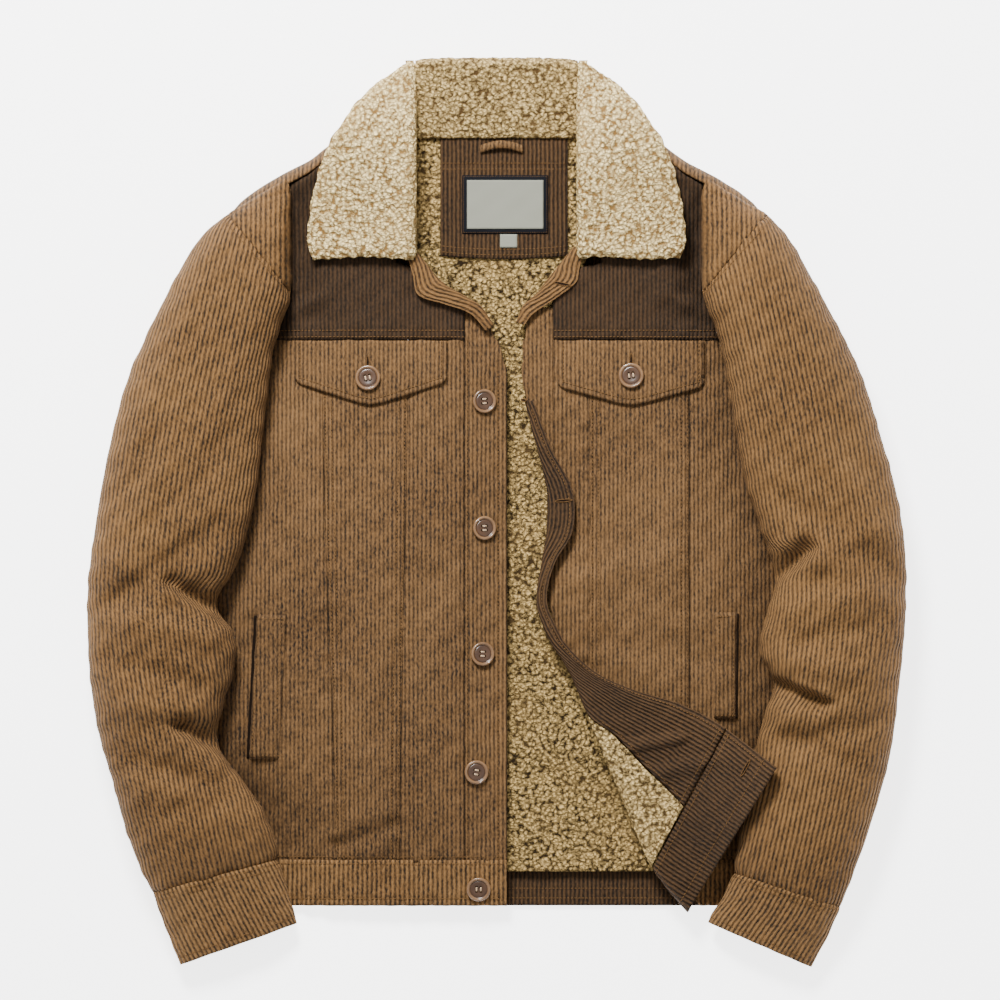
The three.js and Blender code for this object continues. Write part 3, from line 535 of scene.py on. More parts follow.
@dataclass
class Cloth:
    """One cut piece of cloth, a closed wall behind a grid of points on its outer face."""

    name: str
    surface: Surface
    steps: tuple[int, int]
    thickness: float
    finish: bpy.types.Material
    slot: str
    nodes: tuple[str, ...]
    flip: bool = False
    closed: bool = False
    grain: Grain = Grain.STRAIGHT
    seams: str = ""  # sides that dip into a seam: l and r for u at 0 and 1, b and t for v at 0 and 1
    dip: float = 0.9
    dip_width: float = 2.4
    pucker: float = 0.0
    pucker_reach: float = 9.0
    fluff: float = 0.0
    fluff_size: float = 4.0
    ripple: float = 0.0
    grooves: tuple[tuple[str, float], ...] = ()  # sides and the distances from them of sewn lines
    axis: Curve | None = None
    back: bpy.types.Material | None = None  # finish of the face that isn't the grid's, if it differs
    rests_on: tuple[str, ...] = ()

    def build(self) -> bpy.types.Object:
        """Returns:
            The Blender object.
        """
        share_u, share_v = np.meshgrid(*[np.linspace(0, 1, n + 1) for n in self.steps])
        points = np.stack(self.surface(share_u, share_v), -1)
        across, along = arc(points, 1), arc(points, 0)
        normal = cell_normals(points, self.flip, self.closed)
        from_edge = {"l": across, "r": across[:, -1:] - across, "b": along, "t": along[-1:] - along}
        offset = self.ripple * swell(points[..., 0], points[..., 1], 34.0, len(self.name))
        for edge in self.seams:
            distance = from_edge[edge]
            offset = offset - self.dip * np.exp(-((distance / self.dip_width) ** 2))
            run = along if edge in "lr" else across
            waves = np.sin(run / 1.9 + 2.1 * np.sin(run / 11.0)) + 0.6 * np.sin(run / 3.7 + 1.3)
            offset = offset + self.pucker * waves * np.exp(-distance / self.pucker_reach)
        for edge, place in self.grooves:
            offset = offset - 0.8 * np.exp(-(((from_edge[edge] - place) / 1.5) ** 2))
        flat = np.stack(self._grain(points, across, along), -1)
        width, length = across[:, -1].max(), along[-1].max()
        area = self._area(points)
        points = points + normal * offset[..., None]
        if self.fluff:
            points = points + normal * self._tufts(points)[..., None]
        inner = points - normal * self.thickness
        inner[..., 2] = np.maximum(inner[..., 2], 0.0)
        points[..., 2] = np.maximum(points[..., 2], 0.02)
        thing = bpy.data.objects.new(self.name, self._mesh(points, inner, flat))
        bpy.context.scene.collection.objects.link(thing)
        thing.data.materials.append(self.finish)
        if self.back is not None:
            thing.data.materials.append(self.back)
            shown = self.steps[0] * self.steps[1]
            index = (np.arange(len(thing.data.polygons)) >= shown).astype(np.int32)
            thing.data.polygons.foreach_set("material_index", index)
        if self.nodes:
            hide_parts(*self.nodes)
        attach(thing, BODY)
        size = (width * MM, length * MM)
        if min(size) > LEAST_SHEET:
            min(area * MM * MM, size[0] * size[1])
        log.info("%s: %.3f x %.3f m, %d faces", self.name, *size, len(thing.data.polygons))
        return thing

    def _tufts(self, points: Grid) -> Grid:
        """Height of the pile's clumps.

        Args:
            points: places on the face.

        Returns:
            The height in millimetres at each place.
        """
        flat = points.reshape(-1, 3) / self.fluff_size
        heights = [0.55 - noise.voronoi(Vector(place))[0][0] for place in flat]
        return self.fluff * np.array(heights).reshape(points.shape[:2])

    def _grain(self, points: Grid, across: Grid, along: Grid) -> tuple[Grid, Grid]:
        """Places across and along the wales.

        Args:
            points: places on the face.
            across: distances across the piece.
            along: distances along it.

        Returns:
            The two places in metres.
        """
        if self.grain is Grain.STRAIGHT:
            return points[..., 0] * MM, points[..., 1] * MM
        if self.grain is Grain.EDGE:
            return (across[:, -1:] - across) * MM, along * MM
        column = across.shape[1] // 2
        centred = across - across[:, column][:, None]
        if self.grain is Grain.CENTRED:
            return centred * MM, along * MM
        x, y = np.abs(points[..., 0]), points[..., 1]
        off_x, off_y = x - x[:, column][:, None], y - y[:, column][:, None]
        plan = np.hypot(off_x, off_y) * np.sign(centred)
        way = np.sign(x[0, -1] - x[0, 0])
        return (x - self.axis(y) + way * (centred - plan)) * MM, along * MM

    @staticmethod
    def _area(points: Grid) -> float:
        """Area of the grid's cells.

        Args:
            points: places on the face.

        Returns:
            The area in square millimetres.
        """
        first = points[1:, 1:] - points[:-1, :-1]
        second = points[1:, :-1] - points[:-1, 1:]
        return float(np.linalg.norm(np.cross(first, second), axis=2).sum() / 2)

    def _mesh(self, outer: Grid, inner: Grid, flat: Grid) -> bpy.types.Mesh:
        """Join the outer and inner faces along their rims.

        Args:
            outer: points of the outer face, in millimetres.
            inner: points of the inner face.
            flat: places across and along the wales.

        Returns:
            The closed mesh with its UV map.
        """
        rows, columns = outer.shape[:2]
        used = columns - 1 if self.closed else columns
        column = np.arange(columns) % used if self.closed else np.arange(columns)
        index = np.arange(rows)[:, None] * used + column
        texel = np.arange(rows * columns).reshape(rows, columns)
        count = rows * used
        faces, texels = [], []

        def add(a: Grid, b: Grid, c: Grid, d: Grid, shifts: tuple[int, int, int, int]) -> None:
            """Add a strip of quads.

            Args:
                a: grid places of the first corners.
                b: of the second corners.
                c: of the third corners.
                d: of the fourth corners.
                shifts: 0 where a corner is on the outer face and 1 where it is on the inner.
            """
            corners = [a, b, c, d] if not self.flip else [a, d, c, b]
            levels = shifts if not self.flip else (shifts[0], shifts[3], shifts[2], shifts[1])
            strip = np.stack([index.ravel()[k] + count * s for k, s in zip(corners, levels)], -1)
            faces.append(strip.reshape(-1, 4))
            texels.append(np.stack(corners, -1).reshape(-1, 4))

        low, high = texel[:-1, :-1], texel[1:, 1:]
        right, left = texel[:-1, 1:], texel[1:, :-1]
        add(low, right, high, left, (0, 0, 0, 0))
        add(low, left, high, right, (1, 1, 1, 1))
        add(texel[0, 1:], texel[0, :-1], texel[0, :-1], texel[0, 1:], (0, 0, 1, 1))
        add(texel[-1, :-1], texel[-1, 1:], texel[-1, 1:], texel[-1, :-1], (0, 0, 1, 1))
        if not self.closed:
            add(texel[:-1, 0], texel[1:, 0], texel[1:, 0], texel[:-1, 0], (0, 0, 1, 1))
            add(texel[1:, -1], texel[:-1, -1], texel[:-1, -1], texel[1:, -1], (0, 0, 1, 1))
        quads, corner_texels = np.concatenate(faces), np.concatenate(texels)
        vertices = np.concatenate([outer[:, :used].reshape(-1, 3), inner[:, :used].reshape(-1, 3)]) * MM
        mesh = bpy.data.meshes.new(self.name)
        mesh.from_pydata(vertices.tolist(), [], quads.tolist())
        layer = mesh.uv_layers.new(name="grain")
        layer.data.foreach_set("uv", flat.reshape(-1, 2)[corner_texels.ravel()].astype(np.float32).ravel())
        mesh.shade_smooth()
        return mesh


def stitch_tree(finish: bpy.types.Material) -> bpy.types.GeometryNodeTree:
    """Geometry Nodes that sew a line with stitches.

    Args:
        finish: the thread's material.

    Returns:
        The node tree, with its sizes as named inputs.
    """
    tree = bpy.data.node_groups.new("sewn_line", "GeometryNodeTree")
    for name, kind, way in (
        ("Line", "NodeSocketGeometry", "INPUT"),
        ("Pitch", "NodeSocketFloat", "INPUT"),
        ("Length", "NodeSocketFloat", "INPUT"),
        ("Radius", "NodeSocketFloat", "INPUT"),
        ("Sewn", "NodeSocketGeometry", "OUTPUT"),
    ):
        tree.interface.new_socket(name, in_out=way, socket_type=kind)
    new, link = tree.nodes.new, tree.links.new
    given, made = new("NodeGroupInput"), new("NodeGroupOutput")
    curve, points = new("GeometryNodeMeshToCurve"), new("GeometryNodeCurveToPoints")
    points.mode = "LENGTH"
    up = new("GeometryNodeInputNamedAttribute")
    up.data_type = "FLOAT_VECTOR"
    up.inputs["Name"].default_value = "up"
    turn, lift = new("FunctionNodeAlignRotationToVector"), new("FunctionNodeAlignRotationToVector")
    turn.axis, lift.axis, lift.pivot_axis = "X", "Z", "X"
    bead, scale = new("GeometryNodeMeshUVSphere"), new("ShaderNodeCombineXYZ")
    place = new("GeometryNodeInstanceOnPoints")
    bead.inputs["Segments"].default_value = 6
    bead.inputs["Rings"].default_value = 4
    bead.inputs["Radius"].default_value = 1.0
    real, dress = new("GeometryNodeRealizeInstances"), new("GeometryNodeSetMaterial")
    dress.inputs["Material"].default_value = finish
    half = new("ShaderNodeMath")
    half.operation = "MULTIPLY"
    half.inputs[1].default_value = 0.5
    link(given.outputs["Line"], curve.inputs[0])
    link(curve.outputs[0], points.inputs[0])
    link(given.outputs["Pitch"], points.inputs["Length"])
    link(points.outputs["Tangent"], turn.inputs["Vector"])
    link(turn.outputs[0], lift.inputs["Rotation"])
    link(up.outputs["Attribute"], lift.inputs["Vector"])
    link(given.outputs["Length"], half.inputs[0])
    link(half.outputs[0], scale.inputs[0])
    link(given.outputs["Radius"], scale.inputs[1])
    link(given.outputs["Radius"], scale.inputs[2])
    link(points.outputs["Points"], place.inputs["Points"])
    link(bead.outputs["Mesh"], place.inputs["Instance"])
    link(lift.outputs[0], place.inputs["Rotation"])
    link(scale.outputs[0], place.inputs["Scale"])
    link(place.outputs[0], real.inputs[0])
    link(real.outputs[0], dress.inputs[0])
    link(dress.outputs[0], made.inputs[0])
    return tree


@dataclass
class Sewing:
    """Lines of stitches of one assembly, sewn together as one piece."""

    name: str
    tree: bpy.types.GeometryNodeTree
    slot: str = "corduroy"
    pitch: float = 3.2
    length: float = 2.7
    radius: float = 0.38
    lines: list[tuple[Grid, Grid]] = field(default_factory=list)

    def add(self, points: Grid, normals: Grid) -> None:
        """Add a line of points in millimetres, with the cloth's normals there."""
        self.lines.append((points, normals))

    def build(self) -> bpy.types.Object:
        """Sew the lines.

        Returns:
            The Blender object of all the stitches.
        """
        vertices = np.concatenate([points for points, _ in self.lines]) * MM
        starts = np.cumsum([0] + [len(points) for points, _ in self.lines])
        edges = [(i, i + 1) for a, b in zip(starts[:-1], starts[1:]) for i in range(a, b - 1)]
        mesh = bpy.data.meshes.new(self.name)
        mesh.from_pydata(vertices.tolist(), edges, [])
        up = mesh.attributes.new("up", "FLOAT_VECTOR", "POINT")
        up.data.foreach_set("vector", np.concatenate([n for _, n in self.lines]).astype(np.float32).ravel())
        thing = bpy.data.objects.new(self.name, mesh)
        bpy.context.scene.collection.objects.link(thing)
        modifier = thing.modifiers.new("sewing", "NODES")
        modifier.node_group = self.tree
        sizes = {"Pitch": self.pitch * MM, "Length": self.length * MM, "Radius": self.radius * MM}
        for item in self.tree.interface.items_tree:
            if item.name in sizes:
                modifier[item.identifier] = sizes[item.name]
        evaluated = thing.evaluated_get(bpy.context.evaluated_depsgraph_get())
        sewn = bpy.data.meshes.new_from_object(evaluated)
        thing.modifiers.clear()
        thing.data = sewn
        sewn.shade_smooth()
        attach(thing, BODY)
        log.info("%s: %d lines, %d faces", self.name, len(self.lines), len(sewn.polygons))
        return thing


# Cloth thicknesses and the heights along the body where its seams run
CLOTH = 2.2
FACING = 1.8
PILE = 6.2
COLLAR_PILE = 7.0
WAISTBAND = 3.0
GAP = 0.3
LINING_TOP = WAISTBAND + 0.6 + PILE
FRONT_EDGE_Z = 20.0
YOKE_SEAM_Y = 150.5
WAIST_SEAM_Y = -303.5
HEM_Y = -343.0
NECK_SEAM_Y = 328.0
SHOULDER_FOLD_X = 179.5
SHOULDER_SEAM_Z = 36.0
ROLL_DEPTH = 0.35
EDGE_FALL_WIDTH = 42.0
FOLD_CLEARANCE = 3.0

YOKE_OUTER = Curve([[153, 210], [165, 203], [178, 194], [187, 184], [192, 179.5], [310, 179.5]])
OUTER_EDGE_Z = Curve([[153, 4.7], [178, 8], [187, 11], [194, 14], [230, 16], [260, 22], [290, 34]])
SIDE_RISE = Curve([[0, 0], [6, 0.03], [12, 0.12], [22, 0.4], [40, 0.72], [70, 0.95], [110, 1]])
TOP_OUTLINE = Curve([[0, 327], [71, 328], [120, 326], [145, 321], [165, 307], [197, 290], [224, 272],
                     [235, 260]])
SHOULDER_ROLL = Curve([[0, 10], [80, 12], [120, 30], [145, 36], [212, 36], [226, 28], [235, 22]])
YOKE_HALF_WIDTH = Curve(
    [[153, 210], [175, 204], [197, 196], [206, 191], [212, 193], [225, 204], [247, 223], [259, 232]]
)


def shoulder_seam_y(outward: Grid | float) -> Grid:
    """Y of the shoulder seam at a distance from the middle."""
    return TOP_OUTLINE(outward) - 0.9 * ROLL_DEPTH * SHOULDER_ROLL(outward)


@dataclass
class Front:
    """The outer face of one front, as a height over X and Y, and the pieces that lie on it."""

    side: Side
    side_seam: list[list[float]]
    free_edge: list[list[float]]
    crown: list[list[float]]
    creases: list[list[float]]
    outer_seam: tuple[float, float]
    inner_seam: tuple[float, float]
    placket_seam: float
    flap: tuple[float, float, float, float]
    welt: tuple[float, float, float, float, float, float]

    def __post_init__(self) -> None:
        """Make the curves."""
        self.seam = Curve(self.side_seam, level=False)
        self.edge = Curve(self.free_edge)
        self.top = Curve(self.crown)

    def outer(self, y: Grid) -> Grid:
        """Distance of the outer edge from the middle."""
        return np.where(y > YOKE_SEAM_Y, YOKE_OUTER(y), self.seam(y))

    def outer_line(self, y: Grid) -> Grid:
        """Seam between the side panel and the middle panel."""
        return mix(self.outer_seam[0], self.outer_seam[1], smooth((y + 302) / 455))

    def inner_line(self, y: Grid) -> Grid:
        """Seam between the middle panel and the centre panel."""
        return mix(self.inner_seam[0], self.inner_seam[1], smooth((y + 302) / 455))

    def fold(self, y: Grid) -> Grid:
        """Where the outer cloth ends at the free edge or beside the fold."""
        return self.edge(y) + (0.0 if self.side is Side.LEFT else FOLD_CLEARANCE)

    def height(self, x: Grid, y: Grid) -> Grid:
        """Height of the outer face.

        Args:
            x: places across, in millimetres.
            y: places along.

        Returns:
            The height above the surface.
        """
        outward = x * self.side.sign
        low, top = OUTER_EDGE_Z(y), self.top(y)
        distance = self.outer(y) - outward
        rise = mix(SIDE_RISE(distance), smooth(distance / 30), smooth((y - 165) / 25))
        inward = np.maximum(outward - self.edge(y), 0)
        fall = np.exp(-((inward / EDGE_FALL_WIDTH) ** 1.4)) * smooth((205 - y) / 40)
        seam_rise = (SHOULDER_SEAM_Z - top) * np.exp(-np.maximum(shoulder_seam_y(outward) - y, 0) / 14)
        creases = crease_height(self.creases, x, y) * rise
        shoulder = np.maximum(seam_rise, 0) * smooth((y - 215) / 40) * rise
        drop = (top - np.minimum(FRONT_EDGE_Z, top)) * fall * rise
        return low + (top - low) * rise - drop + creases + shoulder

    def patch(
        self,
        outer: Callable[[Grid], Grid],
        inner: Callable[[Grid], Grid],
        bottom: float,
        top: float,
        top_inner: float | None = None,
        top_line: Callable[[Grid], Grid] | None = None,
        bow: Callable[[Grid, Grid], Grid] | None = None,
        lift: float = 0.0,
    ) -> Surface:
        """A surface on the front between two lines across and two along.

        Args:
            outer: distance of the outer line from the middle, by Y.
            inner: distance of the inner line.
            bottom: Y of the lower edge.
            top: Y of the upper edge at its outer end.
            top_inner: Y of the upper edge at its inner end.
            top_line: upper edge as Y by the distance from the middle.
            bow: shift in Y by the shares across and along.
            lift: height above the front's own face.

        Returns:
            The surface as a function of u and v.
        """
        inner_top = top if top_inner is None else top_inner

        def surface(u: Grid, v: Grid) -> tuple[Grid, Grid, Grid]:
            """Place at the shares u and v."""
            share = u if self.side is Side.LEFT else 1 - u
            y_outer, y_inner = mix(bottom, top, v), mix(bottom, inner_top, v)
            outward = mix(outer(y_outer), inner(y_inner), share)
            y = mix(y_outer, y_inner, share)
            if top_line is not None:
                y = y + v * (top_line(outward) - mix(top, inner_top, share))
            if bow is not None:
                y = y + bow(share, v)
            x = outward * self.side.sign
            return x, y, self.height(x, y) + lift

        return surface

    def normal(self, x: Grid, y: Grid) -> Grid:
        """Unit normals of the outer face.

        Args:
            x: places across in millimetres.
            y: places along.

        Returns:
            The normals.
        """
        slope_x = (self.height(x + 3, y) - self.height(x - 3, y)) / 6
        slope_y = (self.height(x, y + 3) - self.height(x, y - 3)) / 6
        normal = np.stack([-slope_x, -slope_y, np.ones_like(slope_x)], -1)
        return normal / np.linalg.norm(normal, axis=-1, keepdims=True)

    def sewn(self, x: Grid, y: Grid, lift: float = 0.1) -> tuple[Grid, Grid]:
        """A line of sewing on the front.

        Args:
            x: places across.
            y: places along.
            lift: height above the front's face.

        Returns:
            Its points and the cloth's normals there.
        """
        x, y = np.broadcast_arrays(np.asarray(x, float), np.asarray(y, float))
        return np.stack([x, y, self.height(x, y) + lift], -1), self.normal(x, y)


LEFT_FRONT = Front(
    side=Side.LEFT,
    side_seam=[[-343, 187], [-302, 199], [-267, 213], [-250, 224], [-233, 238], [-209, 251], [-163, 252],
               [-120, 249], [-82, 253], [-41, 245], [-6, 236], [28, 230], [63, 225], [98, 221], [153, 210]],
    free_edge=[[-343, -7], [-300, -9], [100, -9], [122, -9], [141, -5.7], [163, 2], [180, 14], [191, 32],
               [202, 49], [213, 64], [219, 84], [316, 84]],
    crown=[[-343, 14], [-302, 20], [-250, 28], [-150, 35], [0, 37], [100, 34], [153, 31], [316, 30]],
    creases=[[-140, -291, -92, -272, -2.8, 7], [-138, -280, -96, -260, 1.8, 8],
             [-100, -290, -120, -215, 2.5, 14], [-190, 60, -150, -80, 3, 16],
             [-60, -60, -95, -190, -3, 16], [-120, 60, -135, -120, -2.5, 12],
             [-200, -40, -215, -200, 3, 12], [-218, -212, -211.5, -92, -3.2, 3.2]],
    outer_seam=(140.5, 152), inner_seam=(84, 77), placket_seam=27.4,
    flap=(176, 43, 113.5, 92), welt=(217, 210, 190, 183, -215, -89),
)
RIGHT_FRONT = Front(
    side=Side.RIGHT,
    side_seam=[[-343, 198], [-302, 216], [-276, 224], [-243, 231], [-207, 238], [-180, 249], [-150, 252],
               [-120, 249], [-58, 252], [-24, 248], [28, 236], [63, 226], [98, 221], [153, 210]],
    free_edge=[[-343, 175], [-309, 146], [-251, 120], [-208, 102], [-163, 83], [-135, 70], [-115, 56],
               [-95, 47], [-75, 42], [-45, 45], [-19, 49], [24, 49], [56, 42], [84, 29], [98, 23],
               [122, 19], [166, 19],
               [180, 24], [189, 35], [204, 46], [213, 62], [219, 84], [316, 84]],
    crown=[[-343, 13], [-302, 15], [-260, 20], [-210, 24], [-160, 29], [-100, 34], [0, 36], [100, 34],
           [153, 31], [316, 30]],
    creases=[[70, -60, 150, -40, 3, 14], [95, -110, 190, -125, -3, 14], [175, 70, 150, -60, 3, 18],
             [120, 60, 112, -90, -2.5, 12], [185, -60, 200, -200, 2.5, 12]],
    outer_seam=(168, 168), inner_seam=(81, 81), placket_seam=49,
    flap=(181, 53, 109.5, 92), welt=(209, 210, 189, 190, -180, -87),
)


@dataclass
class Finishes:
    """The jacket's materials."""

    corduroy: bpy.types.Material
    sleeve: bpy.types.Material
    band: bpy.types.Material
    yoke: bpy.types.Material
    facing: bpy.types.Material
    sherpa: bpy.types.Material
    shaded_sherpa: bpy.types.Material
    lining: bpy.types.Material
    turned: bpy.types.Material
    horn: bpy.types.Material
    rim: bpy.types.Material
    thread: bpy.types.Material
    pale_thread: bpy.types.Material
    field: bpy.types.Material
    border: bpy.types.Material
    shade_fill: bpy.types.Material


def make_finishes() -> Finishes:
    """Make every material once.

    Returns:
        The materials.
    """
    return Finishes(
        corduroy=Corduroy("corduroy", linear(92, 65, 36), linear(13, 8, 4), linear(126, 94, 58)).build(),
        sleeve=Corduroy("corduroy_sleeve", linear(100, 70, 37), linear(13, 8, 4), linear(134, 99, 58),
                        0.0043, 0.0016, 0.85).build(),
        # Lighter copy of the corduroy, with wider wales, for the waistbands and cuffs that slope away from
        # the key light: painted light.
        band=Corduroy("corduroy_band_painted_light", linear(110, 78, 43), linear(13, 8, 4), linear(142, 108, 67),
                      0.0041, 0.0016, 0.85).build(),
        # Darker copy of the corduroy for the front yokes: partly the nap lying the other way, partly painted
        # shade from the collar above.
        yoke=Corduroy("corduroy_yoke_nap_and_shade", linear(40, 26, 12), linear(5, 3, 1), linear(72, 50, 27)).build(),
        facing=Corduroy("facing", linear(50, 34, 17), linear(5, 3, 1), linear(92, 65, 37), relief=0.0018,
                        ribbed=1.0).build(),
        sherpa=Sherpa("sherpa", linear(250, 224, 162), linear(112, 82, 42), linear(212, 178, 116)).build(),
        # Darker copy of the collar's sherpa for the collar back: painted shade.
        shaded_sherpa=Sherpa("sherpa_painted_shade", linear(208, 178, 118), linear(64, 46, 24), linear(164, 134, 84)).build(),
        lining=Sherpa("sherpa_lining", linear(196, 164, 104), linear(28, 19, 9),
                      linear(140, 110, 66)).build(),
        # Lighter copy of the lining's sherpa for the turned triangle: painted light.
        turned=Sherpa("sherpa_turned_painted_light", linear(226, 194, 130), linear(56, 41, 21),
                      linear(176, 144, 92)).build(),
        horn=Plain("horn", linear(34, 20, 11), linear(80, 52, 30), 0.34, 0.15, 120.0).build(),
        rim=Plain("horn_rim", linear(74, 50, 30), linear(136, 102, 68), 0.28, 0.3, 120.0).build(),
        thread=Plain("thread", linear(112, 82, 48), linear(76, 54, 32), 0.75).build(),
        pale_thread=Plain("pale_thread", linear(205, 180, 150), linear(160, 132, 104), 0.6).build(),
        field=Plain("label_field", linear(130, 131, 119), linear(116, 117, 106), 0.75, 0.0, 2400.0).build(),
        border=Plain("label_border", linear(9, 11, 19), linear(5, 6, 10), 0.7, 0.0, 2400.0).build(),
        # Near-black fill for the pocket mouths and buttonhole slits: painted shade inside the openings.
        shade_fill=Plain("slit_painted_shade", linear(24, 14, 7), linear(14, 8, 4), 0.9).build(),
    )


@dataclass
class FrontPanels:
    """Panels, yoke, placket, waistband, flap and welt of one front, and their topstitching."""

    front: Front
    finishes: Finishes
    tree: bpy.types.GeometryNodeTree
    cell: float = 2.35
    tuck: float = 1.5  # how far a panel goes under the waistband and the yoke
    centre_bottom: float = WAIST_SEAM_Y
    mid_bottom: float = WAIST_SEAM_Y
    placket_span: tuple[float, float] = (WAIST_SEAM_Y, 175.0)

    def _steps(self, width: float, length: float) -> tuple[int, int]:
        """Number of cells across and along for a size in millimetres."""
        return max(4, round(width / self.cell)), max(4, round(length / self.cell))

    def _cloth(self, part: str, surface: Surface, size: tuple[float, float], thickness: float = CLOTH,
               **more: object) -> None:
        """Build a corduroy piece of this side.

        Args:
            part: first part of the node's name.
            surface: its outer face.
            size: width and length for its cells.
            thickness: thickness of the wall.
            more: other fields of Cloth.
        """
        name = f"{part}_{self.front.side.value}"
        # Front yokes take a darker copy of the corduroy (nap and painted shade), waistbands a lighter one
        # (painted light).
        lit_and_shaded_copies = {"front_yoke": self.finishes.yoke, "waistband": self.finishes.band}
        finish = lit_and_shaded_copies.get(part, self.finishes.corduroy)
        Cloth(f"{name}_cloth", surface, self._steps(*size), thickness, finish, "corduroy",
              (name,), ripple=more.pop("ripple", 0.75), **more).build()

    def build(self) -> None:
        """Build the pieces and sew them."""
        front, half = self.front, GAP / 2
        left = front.side is Side.LEFT
        inner, outer = ("r", "l") if left else ("l", "r")
        low, high = WAIST_SEAM_Y - self.tuck, YOKE_SEAM_Y + self.tuck
        at_fold = lambda line: lambda y: np.maximum(line(y) + half, front.fold(y))
        placket = lambda y: np.full_like(y, front.placket_seam)
        self._cloth("front_side", front.patch(front.outer, lambda y: front.outer_line(y) + half, low, high),
                    (95, 454), seams=inner + "bt", pucker=0.38, grooves=(("b", 3.0),))
        mid_low = low if left else self.mid_bottom
        self._cloth("front_mid", front.patch(lambda y: front.outer_line(y) - half, at_fold(front.inner_line),
                                             mid_low, high), (75, 454), seams="lrbt", pucker=0.38,
                    grooves=(("l", 2.2), ("l", 7.5), ("r", 2.2), ("r", 7.5), ("b", 3.0)))
        centre_low = low if left else self.centre_bottom
        open_below = -math.inf if left else self.placket_span[0]
        centre_inner = lambda y: np.where(y < open_below, front.fold(y), at_fold(placket)(y))
        self._cloth("front_centre", front.patch(lambda y: front.inner_line(y) - half, centre_inner,
                                                centre_low, high), (55, 454), seams="lrbt", pucker=0.38,
                    grooves=(("b", 3.0),))
        placket_low = low if left else self.placket_span[0]
        clear_of_neck = lambda y: front.fold(y) + np.where(y > 130, 1.5, 0) + np.where(y > 150, 2.5, 0)
        self._cloth("placket", front.patch(lambda y: placket(y) - half, clear_of_neck, placket_low,
                                           self.placket_span[1]),
                    (40, self.placket_span[1] - placket_low), 2 * CLOTH, seams=outer + "b", pucker=0.16,
                    grooves=((outer, 1.8), (inner, 7.7)) if left else ())
        beside_edge = 4 + (0 if left else FOLD_CLEARANCE)
        yoke_inner = lambda y: np.maximum(front.edge(y) + beside_edge, placket(y) + half)
        self._cloth("front_yoke", front.patch(
            front.outer, yoke_inner, YOKE_SEAM_Y, float(shoulder_seam_y(SHOULDER_FOLD_X)),
            top_inner=float(shoulder_seam_y(84)), top_line=lambda outward: shoulder_seam_y(outward) - 3,
            lift=1.6), (170, 160), seams="bt" + inner, pucker=0.15, grooves=(("b", 2.0), ("b", 7.6)))
        self._waistband()
        self._flap()
        self._welt()
        self._sew()

    def _waistband(self) -> None:
        """The band below the panels."""
        front = self.front
        inner = (lambda y: np.full_like(y, -9.0)) if front.side is Side.LEFT else front.fold
        width = 200 if front.side is Side.LEFT else 60
        self._cloth("waistband", front.patch(front.seam, inner, HEM_Y, WAIST_SEAM_Y + 0.4, lift=1.5),
                    (width, 44), WAISTBAND, seams="tb", pucker=0.6, pucker_reach=8.0,
                    grooves=(("t", 2.0), ("b", 6.5)))

    def _flap(self) -> None:
        """The pointed pocket flap that hangs from the yoke seam."""
        outer, inner, side, _ = self.front.flap

        def bow(share: Grid, v: Grid) -> Grid:
            """Cut corners and the point at the middle."""
            return (1 - v) * (np.maximum(0, np.abs(2 * share - 1) - 0.94) * 50 - self._point_drop(share))

        surface = self.front.patch(lambda y: np.full_like(y, outer), lambda y: np.full_like(y, inner), side,
                                   YOKE_SEAM_Y - 1, bow=bow, lift=3.8)
        self._cloth("pocket_flap", surface, (outer - inner, 50), 2.6, seams="lrb", dip=0.8, dip_width=1.6,
                    ripple=0.25, grooves=(("l", 5.0), ("r", 5.0), ("b", 5.5)))

    def _point_drop(self, share: Grid) -> Grid:
        """Depth of the flap's lower edge below its corners, straight to a soft point, at shares across."""
        away = np.abs(2 * share - 1)
        return (self.front.flap[2] - self.front.flap[3]) * (1 - away - 0.07 * np.exp(-((away / 0.1) ** 2)))

    def _welt(self) -> None:
        """The narrow welt of the side pocket, and the mouth along its outer edge, a strip of painted shade.
        """
        outer_low, outer_high, inner_low, inner_high, bottom, top = self.front.welt
        lean = lambda a, b: lambda y: mix(a, b, (y - bottom) / (top - bottom))
        mouth = self.front.patch(lean(outer_low + 0.9, outer_high + 0.9), lean(outer_low - 1, outer_high - 1),
                                 bottom + 1, top - 1, lift=1.2)
        # The mouth is a near-black strip: painted shade in the pocket's opening.
        Cloth(f"pocket_mouth_{self.front.side.value}", mouth, (4, 60), 1.6, self.finishes.shade_fill, "corduroy",
              (), ripple=0.3).build()
        surface = self.front.patch(lean(outer_low, outer_high), lean(inner_low, inner_high), bottom, top,
                                   lift=3.9)
        self._cloth("pocket_welt", surface, (52, top - bottom), 2.6, seams="lrbt", dip=2.0, dip_width=1.9)

